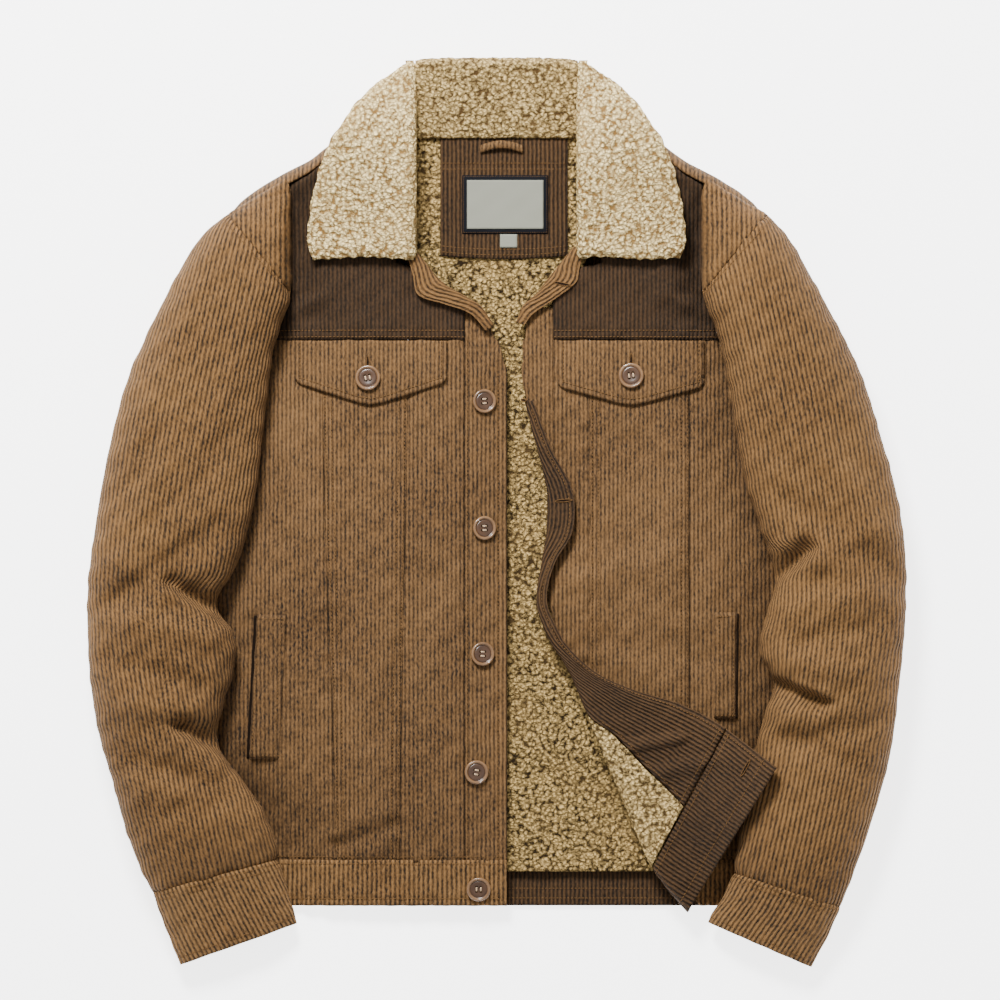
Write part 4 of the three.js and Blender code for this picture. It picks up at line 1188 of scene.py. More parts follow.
    def _sew(self) -> None:
        """Topstitch the seams of this front."""
        front, sign = self.front, self.front.side.sign
        left = front.side is Side.LEFT
        sewing = Sewing(f"topstitching_{front.side.value}", self.tree)
        down = np.linspace(YOKE_SEAM_Y - 4, WAIST_SEAM_Y + 2, 160)
        for line, shifts in ((front.outer_line, (-2.2, -7.5)), (front.inner_line, (2.2, 7.5))):
            for shift in shifts:
                kept = down[line(down) + shift > front.fold(down) + 2]
                sewing.add(*front.sewn(sign * (line(kept) + shift), kept))
        yoke_x = np.linspace(front.outer(np.array(YOKE_SEAM_Y)) - 4, front.placket_seam + 2, 90)
        for above in (2.4, 8.0):
            sewing.add(*front.sewn(sign * yoke_x, YOKE_SEAM_Y + above, 1.7))
        if left:
            y = np.linspace(HEM_Y + 3, 120, 170)
            sewing.add(*front.sewn(1.3, y, 0.1 + 1.5 * (y < WAIST_SEAM_Y)))
            y = np.linspace(WAIST_SEAM_Y + 3, 150, 160)
            sewing.add(*front.sewn(1.8 - front.placket_seam, y))
        band_y = np.array(-320.0)
        band_x = np.linspace(front.seam(band_y) - 3, max(-6.0, float(front.fold(band_y)) + 4), 90)
        for y, lift in ((WAIST_SEAM_Y - 2.6, 1.6), (WAIST_SEAM_Y + 3.4, 0.1), (HEM_Y + 6.5, 1.6)):
            sewing.add(*front.sewn(sign * band_x, y, lift))
        outer, inner, side, _ = front.flap
        share = np.linspace(0.04, 0.96, 60)
        drop = side - self._point_drop(share) + 5.5
        sewing.add(*front.sewn(sign * mix(outer, inner, share), drop, 3.9))
        for edge in (outer - 5.0, inner + 5.0):
            y = np.linspace(side + 6, YOKE_SEAM_Y - 2, 14)
            sewing.add(*front.sewn(sign * edge + 0 * y, y, 3.9))
        outer_low, outer_high, inner_low, inner_high, bottom, top = front.welt
        y = np.linspace(bottom + 3, top - 3, 50)
        share = (y - bottom) / (top - bottom)
        sewing.add(*front.sewn(sign * (mix(inner_low, inner_high, share) + 3.5), y, 4.0))
        sewing.add(*front.sewn(sign * (mix(outer_low, outer_high, share) - 3.5), y, 4.0))
        x = np.linspace(min(inner_low, inner_high) + 3, outer_high - 3, 10)
        sewing.add(*front.sewn(sign * x, top - 3.4, 4.0))
        sewing.add(*front.sewn(sign * x, bottom + 3.4, 4.0))
        sewing.build()


def flat_surface(left: Callable[[Grid], Grid], right: Callable[[Grid], Grid], bottom: float, top: float,
                 height: float) -> Surface:
    """A level surface between two lines across, at a height above the floor.

    Args:
        left: X of the left edge by Y.
        right: X of the right edge.
        bottom: Y of the lower edge.
        top: Y of the upper edge.
        height: height of the face.

    Returns:
        The surface as a function of u and v.
    """

    def surface(u: Grid, v: Grid) -> tuple[Grid, Grid, Grid]:
        """Place at the shares u and v."""
        y = mix(bottom, top, v)
        return mix(left(y), right(y), u), y, np.full_like(y, height)

    return surface


@dataclass
class Back:
    """Back panel, waistband and yoke, and the sherpa lining that the open front shows."""

    finishes: Finishes
    tree: bpy.types.GeometryNodeTree
    lining_left: list[list[float]] = field(default_factory=lambda: [
        [-313, -40], [100, -40], [200, -72], [220, -76], [322, -72]])
    lining_right: list[list[float]] = field(default_factory=lambda: [
        [-313, 160], [-251, 135], [-163, 105], [-100, 70], [0, 72], [98, 55], [170, 50], [220, 78],
        [322, 72]])

    def build(self) -> None:
        """Build the pieces."""
        cord, half = self.finishes.corduroy, GAP / 2
        left, right = (lambda y: -LEFT_FRONT.seam(y)), RIGHT_FRONT.seam
        Cloth("back_panel_cloth", flat_surface(left, right, WAIST_SEAM_Y + half, YOKE_SEAM_Y - half, CLOTH),
              (60, 60), CLOTH, cord, "corduroy", ("back_panel",)).build()
        # The band's top face takes the darker facing finish: the facing cloth there, and painted shade of the
        # lining above it.
        Cloth("back_waistband_cloth", flat_surface(left, right, HEM_Y, WAIST_SEAM_Y - half, WAISTBAND),
              (120, 16), WAISTBAND, self.finishes.facing, "corduroy", ("back_waistband",), back=cord).build()
        Cloth("back_yoke_cloth", self._yoke, (110, 50), CLOTH, cord, "corduroy", ("back_yoke",), flip=True,
              ripple=0.3).build()
        Cloth("back_lining_pile", self._lining, (84, 264), PILE, self.finishes.lining, "sherpa",
              ("back_lining",), fluff=1.8, rests_on=("back_panel_cloth",)).build()
        sewing = Sewing("topstitching_back", self.tree)
        x = np.linspace(8, 175, 60)
        up = np.tile([0.0, 0.0, 1.0], (60, 1))
        for y in (HEM_Y + 6.5, HEM_Y + 15.0):
            sewing.add(np.stack([x, 0 * x + y, 0 * x + WAISTBAND + 0.1], -1), up)
        sewing.build()

    def _yoke(self, u: Grid, v: Grid) -> tuple[Grid, Grid, Grid]:
        """Outer face of the back yoke, flat below and rolled over the shoulders.

        Args:
            u: shares across.
            v: shares from the yoke seam up and over.

        Returns:
            X, Y and Z.
        """
        flat_share, roll_end = 0.6, 80
        outward = np.abs(2 * u - 1) * 235
        height = SHOULDER_ROLL(outward)
        depth = ROLL_DEPTH * height
        flat_end = TOP_OUTLINE(outward) - depth
        angle = np.radians(mix(-90, roll_end, np.maximum(v - flat_share, 0) / (1 - flat_share)))
        flat = v < flat_share
        y = np.where(flat, mix(YOKE_SEAM_Y + GAP / 2, flat_end, v / flat_share),
                     flat_end + depth * np.cos(angle))
        z = np.where(flat, 0.0, height / 2 * (1 + np.sin(angle)))
        return (2 * u - 1) * YOKE_HALF_WIDTH(y), y, z

    def _lining(self, u: Grid, v: Grid) -> tuple[Grid, Grid, Grid]:
        """Face of the back lining, with soft troughs across it.

        Args:
            u: shares across.
            v: shares from the hem up.

        Returns:
            X, Y and Z.
        """
        y = mix(-313.0, 330.0, v)
        x = mix(Curve(self.lining_left)(y), Curve(self.lining_right)(y), u)
        folds = crease_height([[20, -120, 60, -300, -1.8, 14], [90, -140, 110, -260, -1.5, 12],
                               [-10, 60, 40, 20, -1.2, 14]], x, y)
        return x, y, LINING_TOP + 0.5 * swell(x, y, 60.0) + folds


@dataclass
class Neck:
    """Corduroy facing inside the back neck, with its bare label, size tag and hanger loop."""

    finishes: Finishes
    tree: bpy.types.GeometryNodeTree
    left: float = -49.0
    right: float = 62.0
    label: tuple[float, float, float, float] = (-30.0, 45.0, 243.0, 294.0)
    border: float = 4.2

    def build(self) -> None:
        """Build the pieces."""
        base = LINING_TOP + 0.8
        top = base + FACING
        level = lambda value: lambda y: np.full_like(y, value)
        Cloth("neck_facing_cloth", self._facing(top), (52, 48), FACING, self.finishes.facing, "facing",
              ("neck_facing",), seams="lrb", dip=0.5, ripple=0.25).build()
        left, right, low, high = self.label
        Cloth("neck_label_border", flat_surface(level(left), level(right), low, high, top + 1.1), (40, 28),
              0.8, self.finishes.border, "label", ("neck_label",), ripple=0.2, dip=0.3, seams="lrbt").build()
        inset = self.border
        field_surface = flat_surface(level(left + inset), level(right - inset), low + inset, high - inset,
                                     top + 1.7)
        Cloth("neck_label_field", field_surface, (40, 28), 0.4, self.finishes.field, "label", ("neck_label",),
              ripple=0.2).build()
        tag = flat_surface(level(3.0), level(18.0), 231.0, 242.6, top + 0.9)
        Cloth("size_tag_cloth", tag, (8, 8), 0.6, self.finishes.field, "label", ("size_tag",),
              ripple=0.1).build()
        Cloth("hanger_loop_cloth", self._loop(top + GAP), (30, 8), 2.0, self.finishes.corduroy, "corduroy",
              ("hanger_loop",), seams="bt", dip=0.5, dip_width=1.2).build()
        self._sew(top)

    def _facing(self, top: float) -> Surface:
        """Face of the neck patch, its lower edge slightly curved.

        Args:
            top: height of the face.

        Returns:
            The surface.
        """

        def surface(u: Grid, v: Grid) -> tuple[Grid, Grid, Grid]:
            """Place at the shares u and v."""
            x = mix(self.left, self.right, u)
            y = mix(221.0 + 3.0 * np.abs(2 * u - 1) ** 2, 329.0, v)
            yoke_seam = -0.7 * np.exp(-(((y - 302) / 1.6) ** 2))
            return x, y, top + yoke_seam

        return surface

    def _loop(self, base: float) -> Surface:
        """Face of the hanger loop, a folded strip that stands up in an arch.

        Args:
            base: height that it is sewn at.

        Returns:
            The surface.
        """

        def surface(u: Grid, v: Grid) -> tuple[Grid, Grid, Grid]:
            """Place at the shares u and v."""
            arch = np.sin(math.pi * u)
            y = mix(313.0, 320.5, v) + 4 * arch
            return mix(-14.0, 23.0, u), y, base + 2 + 3 * arch + 1.2 * np.sin(math.pi * v)

        return surface

    def _sew(self, top: float) -> None:
        """Stitch the patch and the label.

        Args:
            top: height of the patch's face.
        """
        sewing = Sewing("neck_stitching", self.tree, "facing")
        x = np.linspace(self.left + 3, self.right - 3, 40)
        curve = 3.0 * np.abs(2 * (x - self.left) / (self.right - self.left) - 1) ** 2
        lines = [(x, 224.5 + curve), (x, 229.5 + curve), (x, 304.6 + 0 * x), (x, 299.4 + 0 * x)]
        for px, py in lines:
            sewing.add(np.stack([px, py, 0 * px + top + 0.1], -1), np.tile([0.0, 0.0, 1.0], (len(px), 1)))
        sewing.build()
        left, right, low, high = self.label
        border = Sewing("label_stitching", self.tree, "label", 1.9, 1.5, 0.16)
        for ax, ay, bx, by in ((left, low, right, low), (right, low, right, high), (right, high, left, high),
                               (left, high, left, low)):
            t = np.linspace(0.01, 0.99, 30)
            px, py = mix(ax, bx, t), mix(ay, by, t)
            px, py = px - 1.2 * np.sign(px - 7.5), py - 1.2 * np.sign(py - (low + high) / 2)
            border.add(np.stack([px, py, 0 * px + top + 1.2], -1), np.tile([0.0, 0.0, 1.0], (30, 1)))
        border.build()


@dataclass
class Collar:
    """Sherpa collar: the back folded over itself, the leaves forward over the shoulders."""

    finishes: Finishes
    roll_x: float = 70.0
    top_y: float = 396.5
    roll: float = 9.0
    rows: Rows = field(default_factory=lambda: Rows([
        [83, 390.5, 70, 394.0, 22, 14], [104, 376, 70, 366, 33, 23], [121, 359, 70, 342, 43, 36],
        [133, 341, 70, 320, 50, 46], [144, 324, 70, 300, 52, 49], [153, 302, 70, 280, 51, 47],
        [160, 276, 70, 258, 48, 43], [164, 250, 70, 240, 46, 41], [164, 229, 70, 227, 45, 41],
        [159, 220, 70, 220, 44, 41]]))

    def build(self) -> None:
        """Build the back of the collar and both leaves."""
        sherpa = self.finishes.sherpa
        # The collar back takes the darker copy of the sherpa: painted shade.
        Cloth("collar_back_pile", self._back, (84, 96), COLLAR_PILE, self.finishes.shaded_sherpa, "sherpa",
              ("collar_back",), fluff=1.9, dip=1.0, seams="b").build()
        for side in Side:
            Cloth(f"collar_leaf_{side.value}_pile", self._leaf(side), (100, 136), COLLAR_PILE, sherpa,
                  "sherpa", (f"collar_leaf_{side.value}",), flip=side is Side.LEFT, fluff=1.9, seams="lbt",
                  dip=2.2, dip_width=3.0).build()

    def _back(self, u: Grid, v: Grid) -> tuple[Grid, Grid, Grid]:
        """Face of the collar behind the neck: up the inside, over the roll and down behind.

        Args:
            u: shares across.
            v: shares from the neck seam up, over and down.

        Returns:
            X, Y and Z.
        """
        roll_y, roll_z, rise_end, roll_end = 8.0, 11.0, 0.4, 0.65
        angle = np.radians(mix(90, -90, np.clip((v - rise_end) / (roll_end - rise_end), 0, 1)))
        rise = v / rise_end
        y = np.where(v < rise_end, mix(NECK_SEAM_Y - 2, self.top_y - roll_y, rise),
                     self.top_y - roll_y + roll_y * np.cos(angle))
        z = np.where(v < rise_end, mix(15.5, 2 * roll_z, rise ** 0.7), roll_z + roll_z * np.sin(angle))
        under = (v - roll_end) / (1 - roll_end)
        y = np.where(v > roll_end, mix(self.top_y - roll_y, NECK_SEAM_Y + 8, under), y)
        z = np.where(v > roll_end, 0.0, z)
        half_width = self.roll_x + 0.9
        return mix(-half_width, half_width, u), y - 2.5 * (2 * u - 1) ** 6 * np.clip(v / rise_end, 0, 1), z

    def _leaf(self, side: Side) -> Surface:
        """Face of a leaf: over the shoulder from its outer edge, round the roll and down inside.

        Args:
            side: side of the jacket.

        Returns:
            The surface.
        """

        def surface(u: Grid, v: Grid) -> tuple[Grid, Grid, Grid]:
            """Place at the shares u and v."""
            roll_share, drop_share = 0.62, 0.82
            outer_x, outer_y, roll_x, roll_y, top_z, outer_z = self.rows.at(v)
            bottom_z = 17 + 4 * v
            k = np.clip(u / roll_share, 0, 1)
            angle = math.pi / 2 * np.clip((u - roll_share) / (drop_share - roll_share), 0, 1)
            fall = np.minimum(self.roll, top_z - bottom_z)
            drop = (u - drop_share) / (1 - drop_share)
            outward = np.where(u < roll_share, mix(outer_x, roll_x + self.roll, k),
                               roll_x + self.roll - self.roll * np.sin(angle))
            y = np.where(u < roll_share, mix(outer_y, roll_y, k), roll_y)
            z = np.where(u < roll_share, mix(outer_z, top_z, np.sin(k * math.pi / 2)),
                         top_z - fall + fall * np.cos(angle))
            outward = np.where(u > drop_share, roll_x, outward)
            z = np.where(u > drop_share, mix(top_z - fall, bottom_z - 2, drop), z)
            tufted = 1.3 * np.abs(np.sin(outward / 3.6)) + 1.0 * np.sin(outward / 13.0 + side.sign)
            outward = outward + 0.8 * np.sin(y / 3.1) * np.sin(y / 11.0) * np.clip(1 - 14 * u, 0, 1)
            return outward * side.sign, y + tufted * np.clip(14 * v - 13, 0, 1), z

        return surface


@dataclass
class Turn:
    """A turned edge: the cloth rolls over a fold line and lies back on the front, inside up."""

    side: Side
    rows: Rows
    roll_start: float
    radius: float = 6.0
    wrinkles: tuple[tuple[float, ...], ...] = ()

    def _place(self, v: Grid) -> tuple[Grid, ...]:
        """The rows at some shares along, and the roll there.

        Args:
            v: shares along the rows.

        Returns:
            Columns of the rows, the strip's width, the fold's radius and the roll's length.
        """
        fold_x, fold_y, edge_x, edge_y, fold_z, edge_z, start = self.rows.at(v)
        width = np.hypot(edge_x - fold_x, edge_y - fold_y)
        radius = np.minimum(self.radius, 0.42 * width)
        return fold_x, fold_y, edge_x, edge_y, fold_z, edge_z, start, width, radius, radius * (
            math.pi / 2 - self.roll_start)

    def length(self, v: Grid) -> Grid:
        """Distance across the cloth from where the roll starts to the free edge."""
        *_, width, radius, roll = self._place(v)
        return roll + width - radius

    def point(self, v: Grid, reach: Grid, sunk: float = 0.0) -> tuple[Grid, Grid, Grid]:
        """A place on the turned cloth.

        Args:
            v: share along the rows.
            reach: distance across the cloth from where the roll starts, in millimetres.
            sunk: depth of a second layer beneath.

        Returns:
            X, Y and Z.
        """
        fold_x, fold_y, edge_x, edge_y, fold_z, edge_z, _, width, radius, roll = self._place(v)
        angle = self.roll_start + np.minimum(reach, roll) / radius
        rolled = reach < roll
        across = np.where(rolled, radius - (radius - sunk) * np.cos(angle), radius + reach - roll)
        lying = mix(fold_z, edge_z, smooth((reach - roll) / (width - radius))) - sunk
        z = np.where(rolled, fold_z - radius + (radius - sunk) * np.sin(angle), lying)
        x = self.side.sign * (fold_x + (edge_x - fold_x) / width * across)
        y = fold_y + (edge_y - fold_y) / width * across
        if self.wrinkles and not sunk:
            z = z + np.maximum(1.3 * crease_height(self.wrinkles, x, y, 2.2), -1.0) * smooth(reach / 12)
        return x, y, z

    def strip(self, rows: tuple[float, float], start: Callable[[Grid], Grid], end: Callable[[Grid], Grid],
              sunk: float = 0.0) -> Surface:
        """A strip between two rows and between two reaches across.

        Args:
            rows: shares along the rows where it starts and ends.
            start: reach where it starts, by share along.
            end: reach where it ends.
            sunk: depth of a second layer beneath.

        Returns:
            The surface.
        """

        def surface(u: Grid, w: Grid) -> tuple[Grid, Grid, Grid]:
            """Place at the shares u and w."""
            v = mix(rows[0], rows[1], w)
            return self.point(v, mix(start(v), end(v), u), sunk)

        return surface

    def sewn(self, v: Grid, reach: Grid, lift: float = 0.15) -> tuple[Grid, Grid]:
        """A line of sewing on the turned cloth.

        Args:
            v: shares along the rows.
            reach: distances across the cloth.
            lift: height above the cloth's face.

        Returns:
            Its points and the cloth's normals there.
        """
        at = lambda a, b: np.stack(self.point(a, b), -1)
        normal = np.cross(at(v, reach + 1) - at(v, reach - 1), at(v + 0.002, reach) - at(v - 0.002, reach))
        normal /= np.linalg.norm(normal, axis=-1, keepdims=True)
        normal *= np.sign(normal[:, 2:])
        return at(v, reach) + normal * lift, normal


NECK_ROLL_START = math.radians(-10)
TURN_RIGHT = Turn(Side.RIGHT, Rows([
    [24, 98, 32, 97, 27, 29, 0], [35, 56, 48, 54.5, 29, 33, 0], [43, 24, 64, 25, 30, 35, 0],
    [44, 2, 68, 4, 30, 35, 0], [43, -19.5, 65, -19.5, 30, 35, 0], [38.7, -45.5, 51, -43, 30, 34, 0],
    [35, -69, 44, -67.5, 30, 33, 0], [35, -80.5, 44.5, -82, 30, 33, 0], [38.7, -95, 50, -95, 31, 34, 0],
    [48, -115, 61, -115, 32, 36, 0], [61, -135, 86.5, -139, 34, 39, 0],
    [73.5, -163, 120.5, -154.5, 35, 42, 2], [92, -208, 152.7, -164, 36, 42, 18.6],
    [110, -251, 177, -174.5, 34, 44, 35.2], [135, -309, 199, -187.5, 30, 50, 60.6],
    [166, -348.5, 242, -220.5, 27, 71, 60]]),
    math.radians(-70), wrinkles=(
        (112, -190, 165, -182, -3.0, 5.0), (118, -204, 160, -196, 2.2, 5.0),
        (125, -214, 178, -203, -2.6, 5.0), (150, -170, 172, -196, -2.2, 6.0),
        (134, -228, 188, -216, 1.8, 6.0), (140, -250, 170, -236, -1.8, 7.0),
        (100, -172, 128, -178, -1.6, 6.0)))
TURN_LEFT_NECK = Turn(Side.LEFT, Rows([
    [62, 218, 73, 207, 35, 35, 0], [49, 202, 68, 189, 36, 36.5, 0], [32, 191, 45, 181, 34, 35, 0],
    [14.4, 180.5, 23, 173, 30.5, 32, 0], [2, 163, 9, 158, 28, 29, 0]]), NECK_ROLL_START)
TURN_RIGHT_NECK = Turn(Side.RIGHT, Rows([
    [57, 219, 72, 212, 34, 34, 0], [46, 205, 69, 200, 33, 34.5, 0], [34, 190, 50, 185, 31, 32.5, 0],
    [23, 180, 32, 173, 28, 29.5, 0], [17, 166, 24, 163, 26, 27, 0]]), NECK_ROLL_START)


@dataclass
class TurnedEdges:
    """Facings, lining and waistband that show where the fronts are turned out."""

    finishes: Finishes
    tree: bpy.types.GeometryNodeTree
    row_gap: float = 0.002

    def build(self) -> None:
        """Build the strips and sew them."""
        turn, shares = TURN_RIGHT, TURN_RIGHT.rows.shares
        lining, waist = shares[11], shares[14]
        fin = self.finishes
        none = lambda v: np.zeros_like(v)

        def facing_start(v: Grid) -> Grid:
            """Reach at which the facing meets the lining."""
            roll = turn.radius * (math.pi / 2 - turn.roll_start) - turn.radius
            past_roll = np.where(v > lining, roll * smooth((v - lining) / 0.08), 0)
            return np.maximum(0, turn.rows.at(v)[6]) + past_roll

        Cloth("facing_right_cloth", turn.strip((shares[0], waist - self.row_gap), facing_start, turn.length),
              (34, 210), FACING, fin.facing, "facing", ("facing_right",), flip=True, grain=Grain.EDGE,
              seams="rt", dip=0.8, dip_width=1.5, pucker=0.12, ripple=0.3).build()
        # The turned lining takes the lighter copy of the sherpa: painted light.
        Cloth("lining_right_pile", turn.strip((lining + 0.02, waist - self.row_gap), none,
                                              lambda v: facing_start(v) - 1.5),
              (52, 96), 3.6, fin.turned, "sherpa", ("lining_right",), flip=True, fluff=1.8).build()
        Cloth("turn_waistband_right_cloth", turn.strip((waist + self.row_gap, 1.0), none, turn.length),
              (72, 24), FACING, fin.facing, "facing", ("turn_waistband_right",), flip=True, grain=Grain.EDGE,
              seams="rb", dip=0.8, dip_width=1.5, pucker=0.2, ripple=0.4).build()
        Cloth("turn_under_right_cloth", turn.strip((lining + 0.03, 1.0), lambda v: turn.length(v) * 0.4,
                                                   turn.length, 4.2),
              (30, 84), CLOTH, fin.corduroy, "corduroy", ("turn_under_right",), flip=True,
              grain=Grain.EDGE).build()
        for neck in (TURN_LEFT_NECK, TURN_RIGHT_NECK):
            side = neck.side
            Cloth(f"facing_neck_{side.value}_cloth", neck.strip((-0.2, 1.0), none, neck.length), (24, 60),
                  FACING, fin.sleeve, "facing", (f"facing_neck_{side.value}",), flip=side is Side.RIGHT,
                  grain=Grain.EDGE, seams="r", dip=0.8, dip_width=1.5, ripple=0.2).build()
        self._sew(lining, waist, facing_start)

    def _sew(self, lining: float, waist: float, facing_start: Callable[[Grid], Grid]) -> None:
        """Topstitch the free edge, the facing's join to the lining and the waistband.

        Args:
            lining: share where the lining starts to show.
            waist: share of the waistband seam.
            facing_start: reach at which the facing meets the lining.
        """
        turn = TURN_RIGHT
        sewing = Sewing("topstitching_turned", self.tree, "facing")
        v = np.linspace(0.02, 0.985, 260)
        sewing.add(*turn.sewn(v, turn.length(v) - 4.5))
        v = np.linspace(lining + 0.05, waist - 0.01, 60)
        sewing.add(*turn.sewn(v, facing_start(v) + 3.0))
        for shift in (-0.012, 0.012):
            v = np.full(46, waist + shift)
            sewing.add(*turn.sewn(v, mix(4.0, turn.length(v) - 3, np.linspace(0, 1, 46))))
        v = np.full(46, 0.975)
        sewing.add(*turn.sewn(v, mix(4.0, turn.length(v) - 3, np.linspace(0, 1, 46))))
        for neck in (TURN_LEFT_NECK, TURN_RIGHT_NECK):
            v = np.linspace(0.04, 0.96, 34)
            sewing.add(*neck.sewn(v, neck.length(v) - 3.5))
        sewing.build()


PINCHES = {
    Side.LEFT: [[236, -92, 282, -63, 15, 11, 1], [236, -208, 274, -188, 13, 11, 1]],
    Side.RIGHT: [[238, -62, 271, -34, 15, 11, 1], [240, -146, 281, -162, 13, 10, -1]],
}
SLEEVE_FOLDS = {
    Side.LEFT: [[250, -20, 330, -75, -5, 13], [240, -235, 325, -215, -5, 12],
                [252, -108, 320, -92, 3.5, 12], [262, -150, 330, -128, -3.5, 10],
                [246, -176, 322, -168, 3.0, 11],
                [285, -60, 340, -44, 2.5, 12], [235, 60, 300, -10, -2.5, 14], [225, 120, 262, 40, 2.0, 14],
                [232, -250, 300, -262, -2.5, 10], [300, 60, 330, 10, -1.8, 12]],
    Side.RIGHT: [[250, 10, 335, -45, -5, 13], [250, -200, 335, -180, -5, 12],
                 [250, -82, 325, -70, 3.5, 12], [262, -112, 335, -96, -3.5, 10],
                 [250, -132, 328, -140, 3.0, 11],
                 [285, -28, 342, -16, 2.5, 12], [240, 60, 300, 0, -2.5, 14], [225, 120, 262, 50, 2.0, 14],
                 [236, -190, 300, -214, -2.5, 10], [300, 70, 332, 20, -1.8, 12]],
}


SLEEVE_AXIS = Curve([[-400, 233], [-200, 275], [-67, 292], [60, 278], [228, 243], [300, 228]])


@dataclass
class Sleeve:
    """A hollow sleeve laid flat below and round above, with its cuff and the front yoke's shoulder end."""

    side: Side
    finishes: Finishes
    tree: bpy.types.GeometryNodeTree
    rows: Rows
    cuff: Rows
    shoulder: Rows
    squareness: float = 0.86
    flat_from: float = 0.94
    half_gap: float = 0.003
    tuck: float = 0.006  # share of the length that goes under the next piece at a seam

    def _ring(self, rows: Rows, v: Grid, turn: Grid) -> tuple[Grid, Grid, Grid]:
        """A place on a ring.

        Args:
            rows: sections along the sleeve.
            v: share along them.
            turn: 0 at the inner edge, a quarter on top, a half at the outer edge.

        Returns:
            X, Y and Z.
        """
        outer_x, outer_y, inner_x, inner_y, height = rows.at(v)
        cosine, sine = np.cos(2 * math.pi * turn), np.sin(2 * math.pi * turn)
        power = np.where(turn < 0.5, self.squareness, 1.0)
        across = 0.5 - 0.5 * np.sign(cosine) * np.abs(cosine) ** power
        outward, y = mix(inner_x, outer_x, across), mix(inner_y, outer_y, across)
        middle = height * 0.5
        crown = np.maximum(sine, 0)
        folds = 1.3 * crease_height(SLEEVE_FOLDS[self.side], outward, y, 1.4) * crown
        folds = folds - pinch_depth(PINCHES[self.side], outward, y) * crown ** 0.5
        upper = middle + (height - middle) * crown ** self.squareness + folds
        z = np.where(sine >= 0, upper, np.maximum(0, middle * (1 + sine / self.flat_from)))
        return outward * self.side.sign, y, z

    def _half(self, upper: bool) -> Surface:
        """Face of one half of the sleeve.

        Args:
            upper: whether it is the half on top.

        Returns:
            The surface.
        """
        start = self.half_gap + (0.0 if upper else 0.5)
        end = (0.5 if upper else 1.0) - self.half_gap
        return lambda u, v: self._ring(self.rows, mix(-self.tuck, 1.0 + self.tuck, v), mix(start, end, u))

    def _shoulder(self, u: Grid, v: Grid) -> tuple[Grid, Grid, Grid]:
        """Face of the yoke's outer end, from the fold beside the sleeve head to the armhole seam.

        Args:
            u: shares round it.
            v: shares up from the armhole seam.

        Returns:
            X, Y and Z.
        """
        outer_x, outer_y, inner_x, inner_y, height, outer_z, inner_z = self.shoulder.at(v)
        angle = math.pi * mix(0.002, 0.998, u)
        across = 0.5 - 0.5 * np.sign(np.cos(angle)) * np.abs(np.cos(angle)) ** self.squareness
        end_z = mix(inner_z, outer_z, across)
        z = end_z + (height - end_z) * np.abs(np.sin(angle)) ** self.squareness
        return self.side.sign * mix(inner_x, outer_x, across), mix(inner_y, outer_y, across), z

    def build(self) -> None:
        """Build the sleeve's pieces and sew them."""
        cord, side, right = self.finishes.sleeve, self.side.value, self.side is Side.RIGHT
        Cloth(f"topsleeve_{side}_cloth", self._half(True), (70, 244), CLOTH, cord, "corduroy",
              (f"topsleeve_{side}",), flip=right, grain=Grain.AXIS, axis=SLEEVE_AXIS, seams="bt", dip=2.6,
              dip_width=5.0, pucker=0.45, ripple=0.9).build()
        Cloth(f"undersleeve_{side}_cloth", self._half(False), (44, 100), CLOTH, cord, "corduroy",
              (f"undersleeve_{side}",), flip=right, grain=Grain.CENTRED, seams="bt").build()
        ring = lambda u, v: self._ring(self.cuff, v, u % 1.0)
        # The cuff takes the lighter band copy of the corduroy: painted light.
        Cloth(f"cuff_{side}_cloth", ring, (110, 30), 3.0, self.finishes.band, "corduroy", (f"cuff_{side}",),
              flip=right, closed=True, grain=Grain.CENTRED, seams="b", pucker=0.4, ripple=0.6).build()
        Cloth(f"front_shoulder_{side}_cloth", self._shoulder, (46, 34), CLOTH, cord, "corduroy",
              (f"front_shoulder_{side}",), flip=not right, seams="b", dip=0.8, ripple=0.5,
              grooves=(("r", 13.0),)).build()
        sewing = Sewing(f"topstitching_sleeve_{side}", self.tree)
        for v in (0.05, 0.12, 0.9):
            self._round(sewing, self.cuff, v)
        self._round(sewing, self.rows, 0.006)
        sewing.build()

    def _round(self, sewing: Sewing, rows: Rows, v: float) -> None:
        """Sew round the upper half of a ring.

        Args:
            sewing: where the line goes.
            rows: sections that it follows.
            v: share along them.
        """
        turn = np.linspace(0.03, 0.47, 60)
        at = lambda a, b: np.stack(self._ring(rows, a, b), -1)
        level = np.full_like(turn, v)
        normal = np.cross(at(level, turn + 0.004) - at(level, turn - 0.004),
                          at(level + 0.004, turn) - at(level, turn))
        normal /= np.linalg.norm(normal, axis=-1, keepdims=True)
        normal *= np.sign(normal[:, 2:])
        sewing.add(at(level, turn) + normal * 0.15, normal)


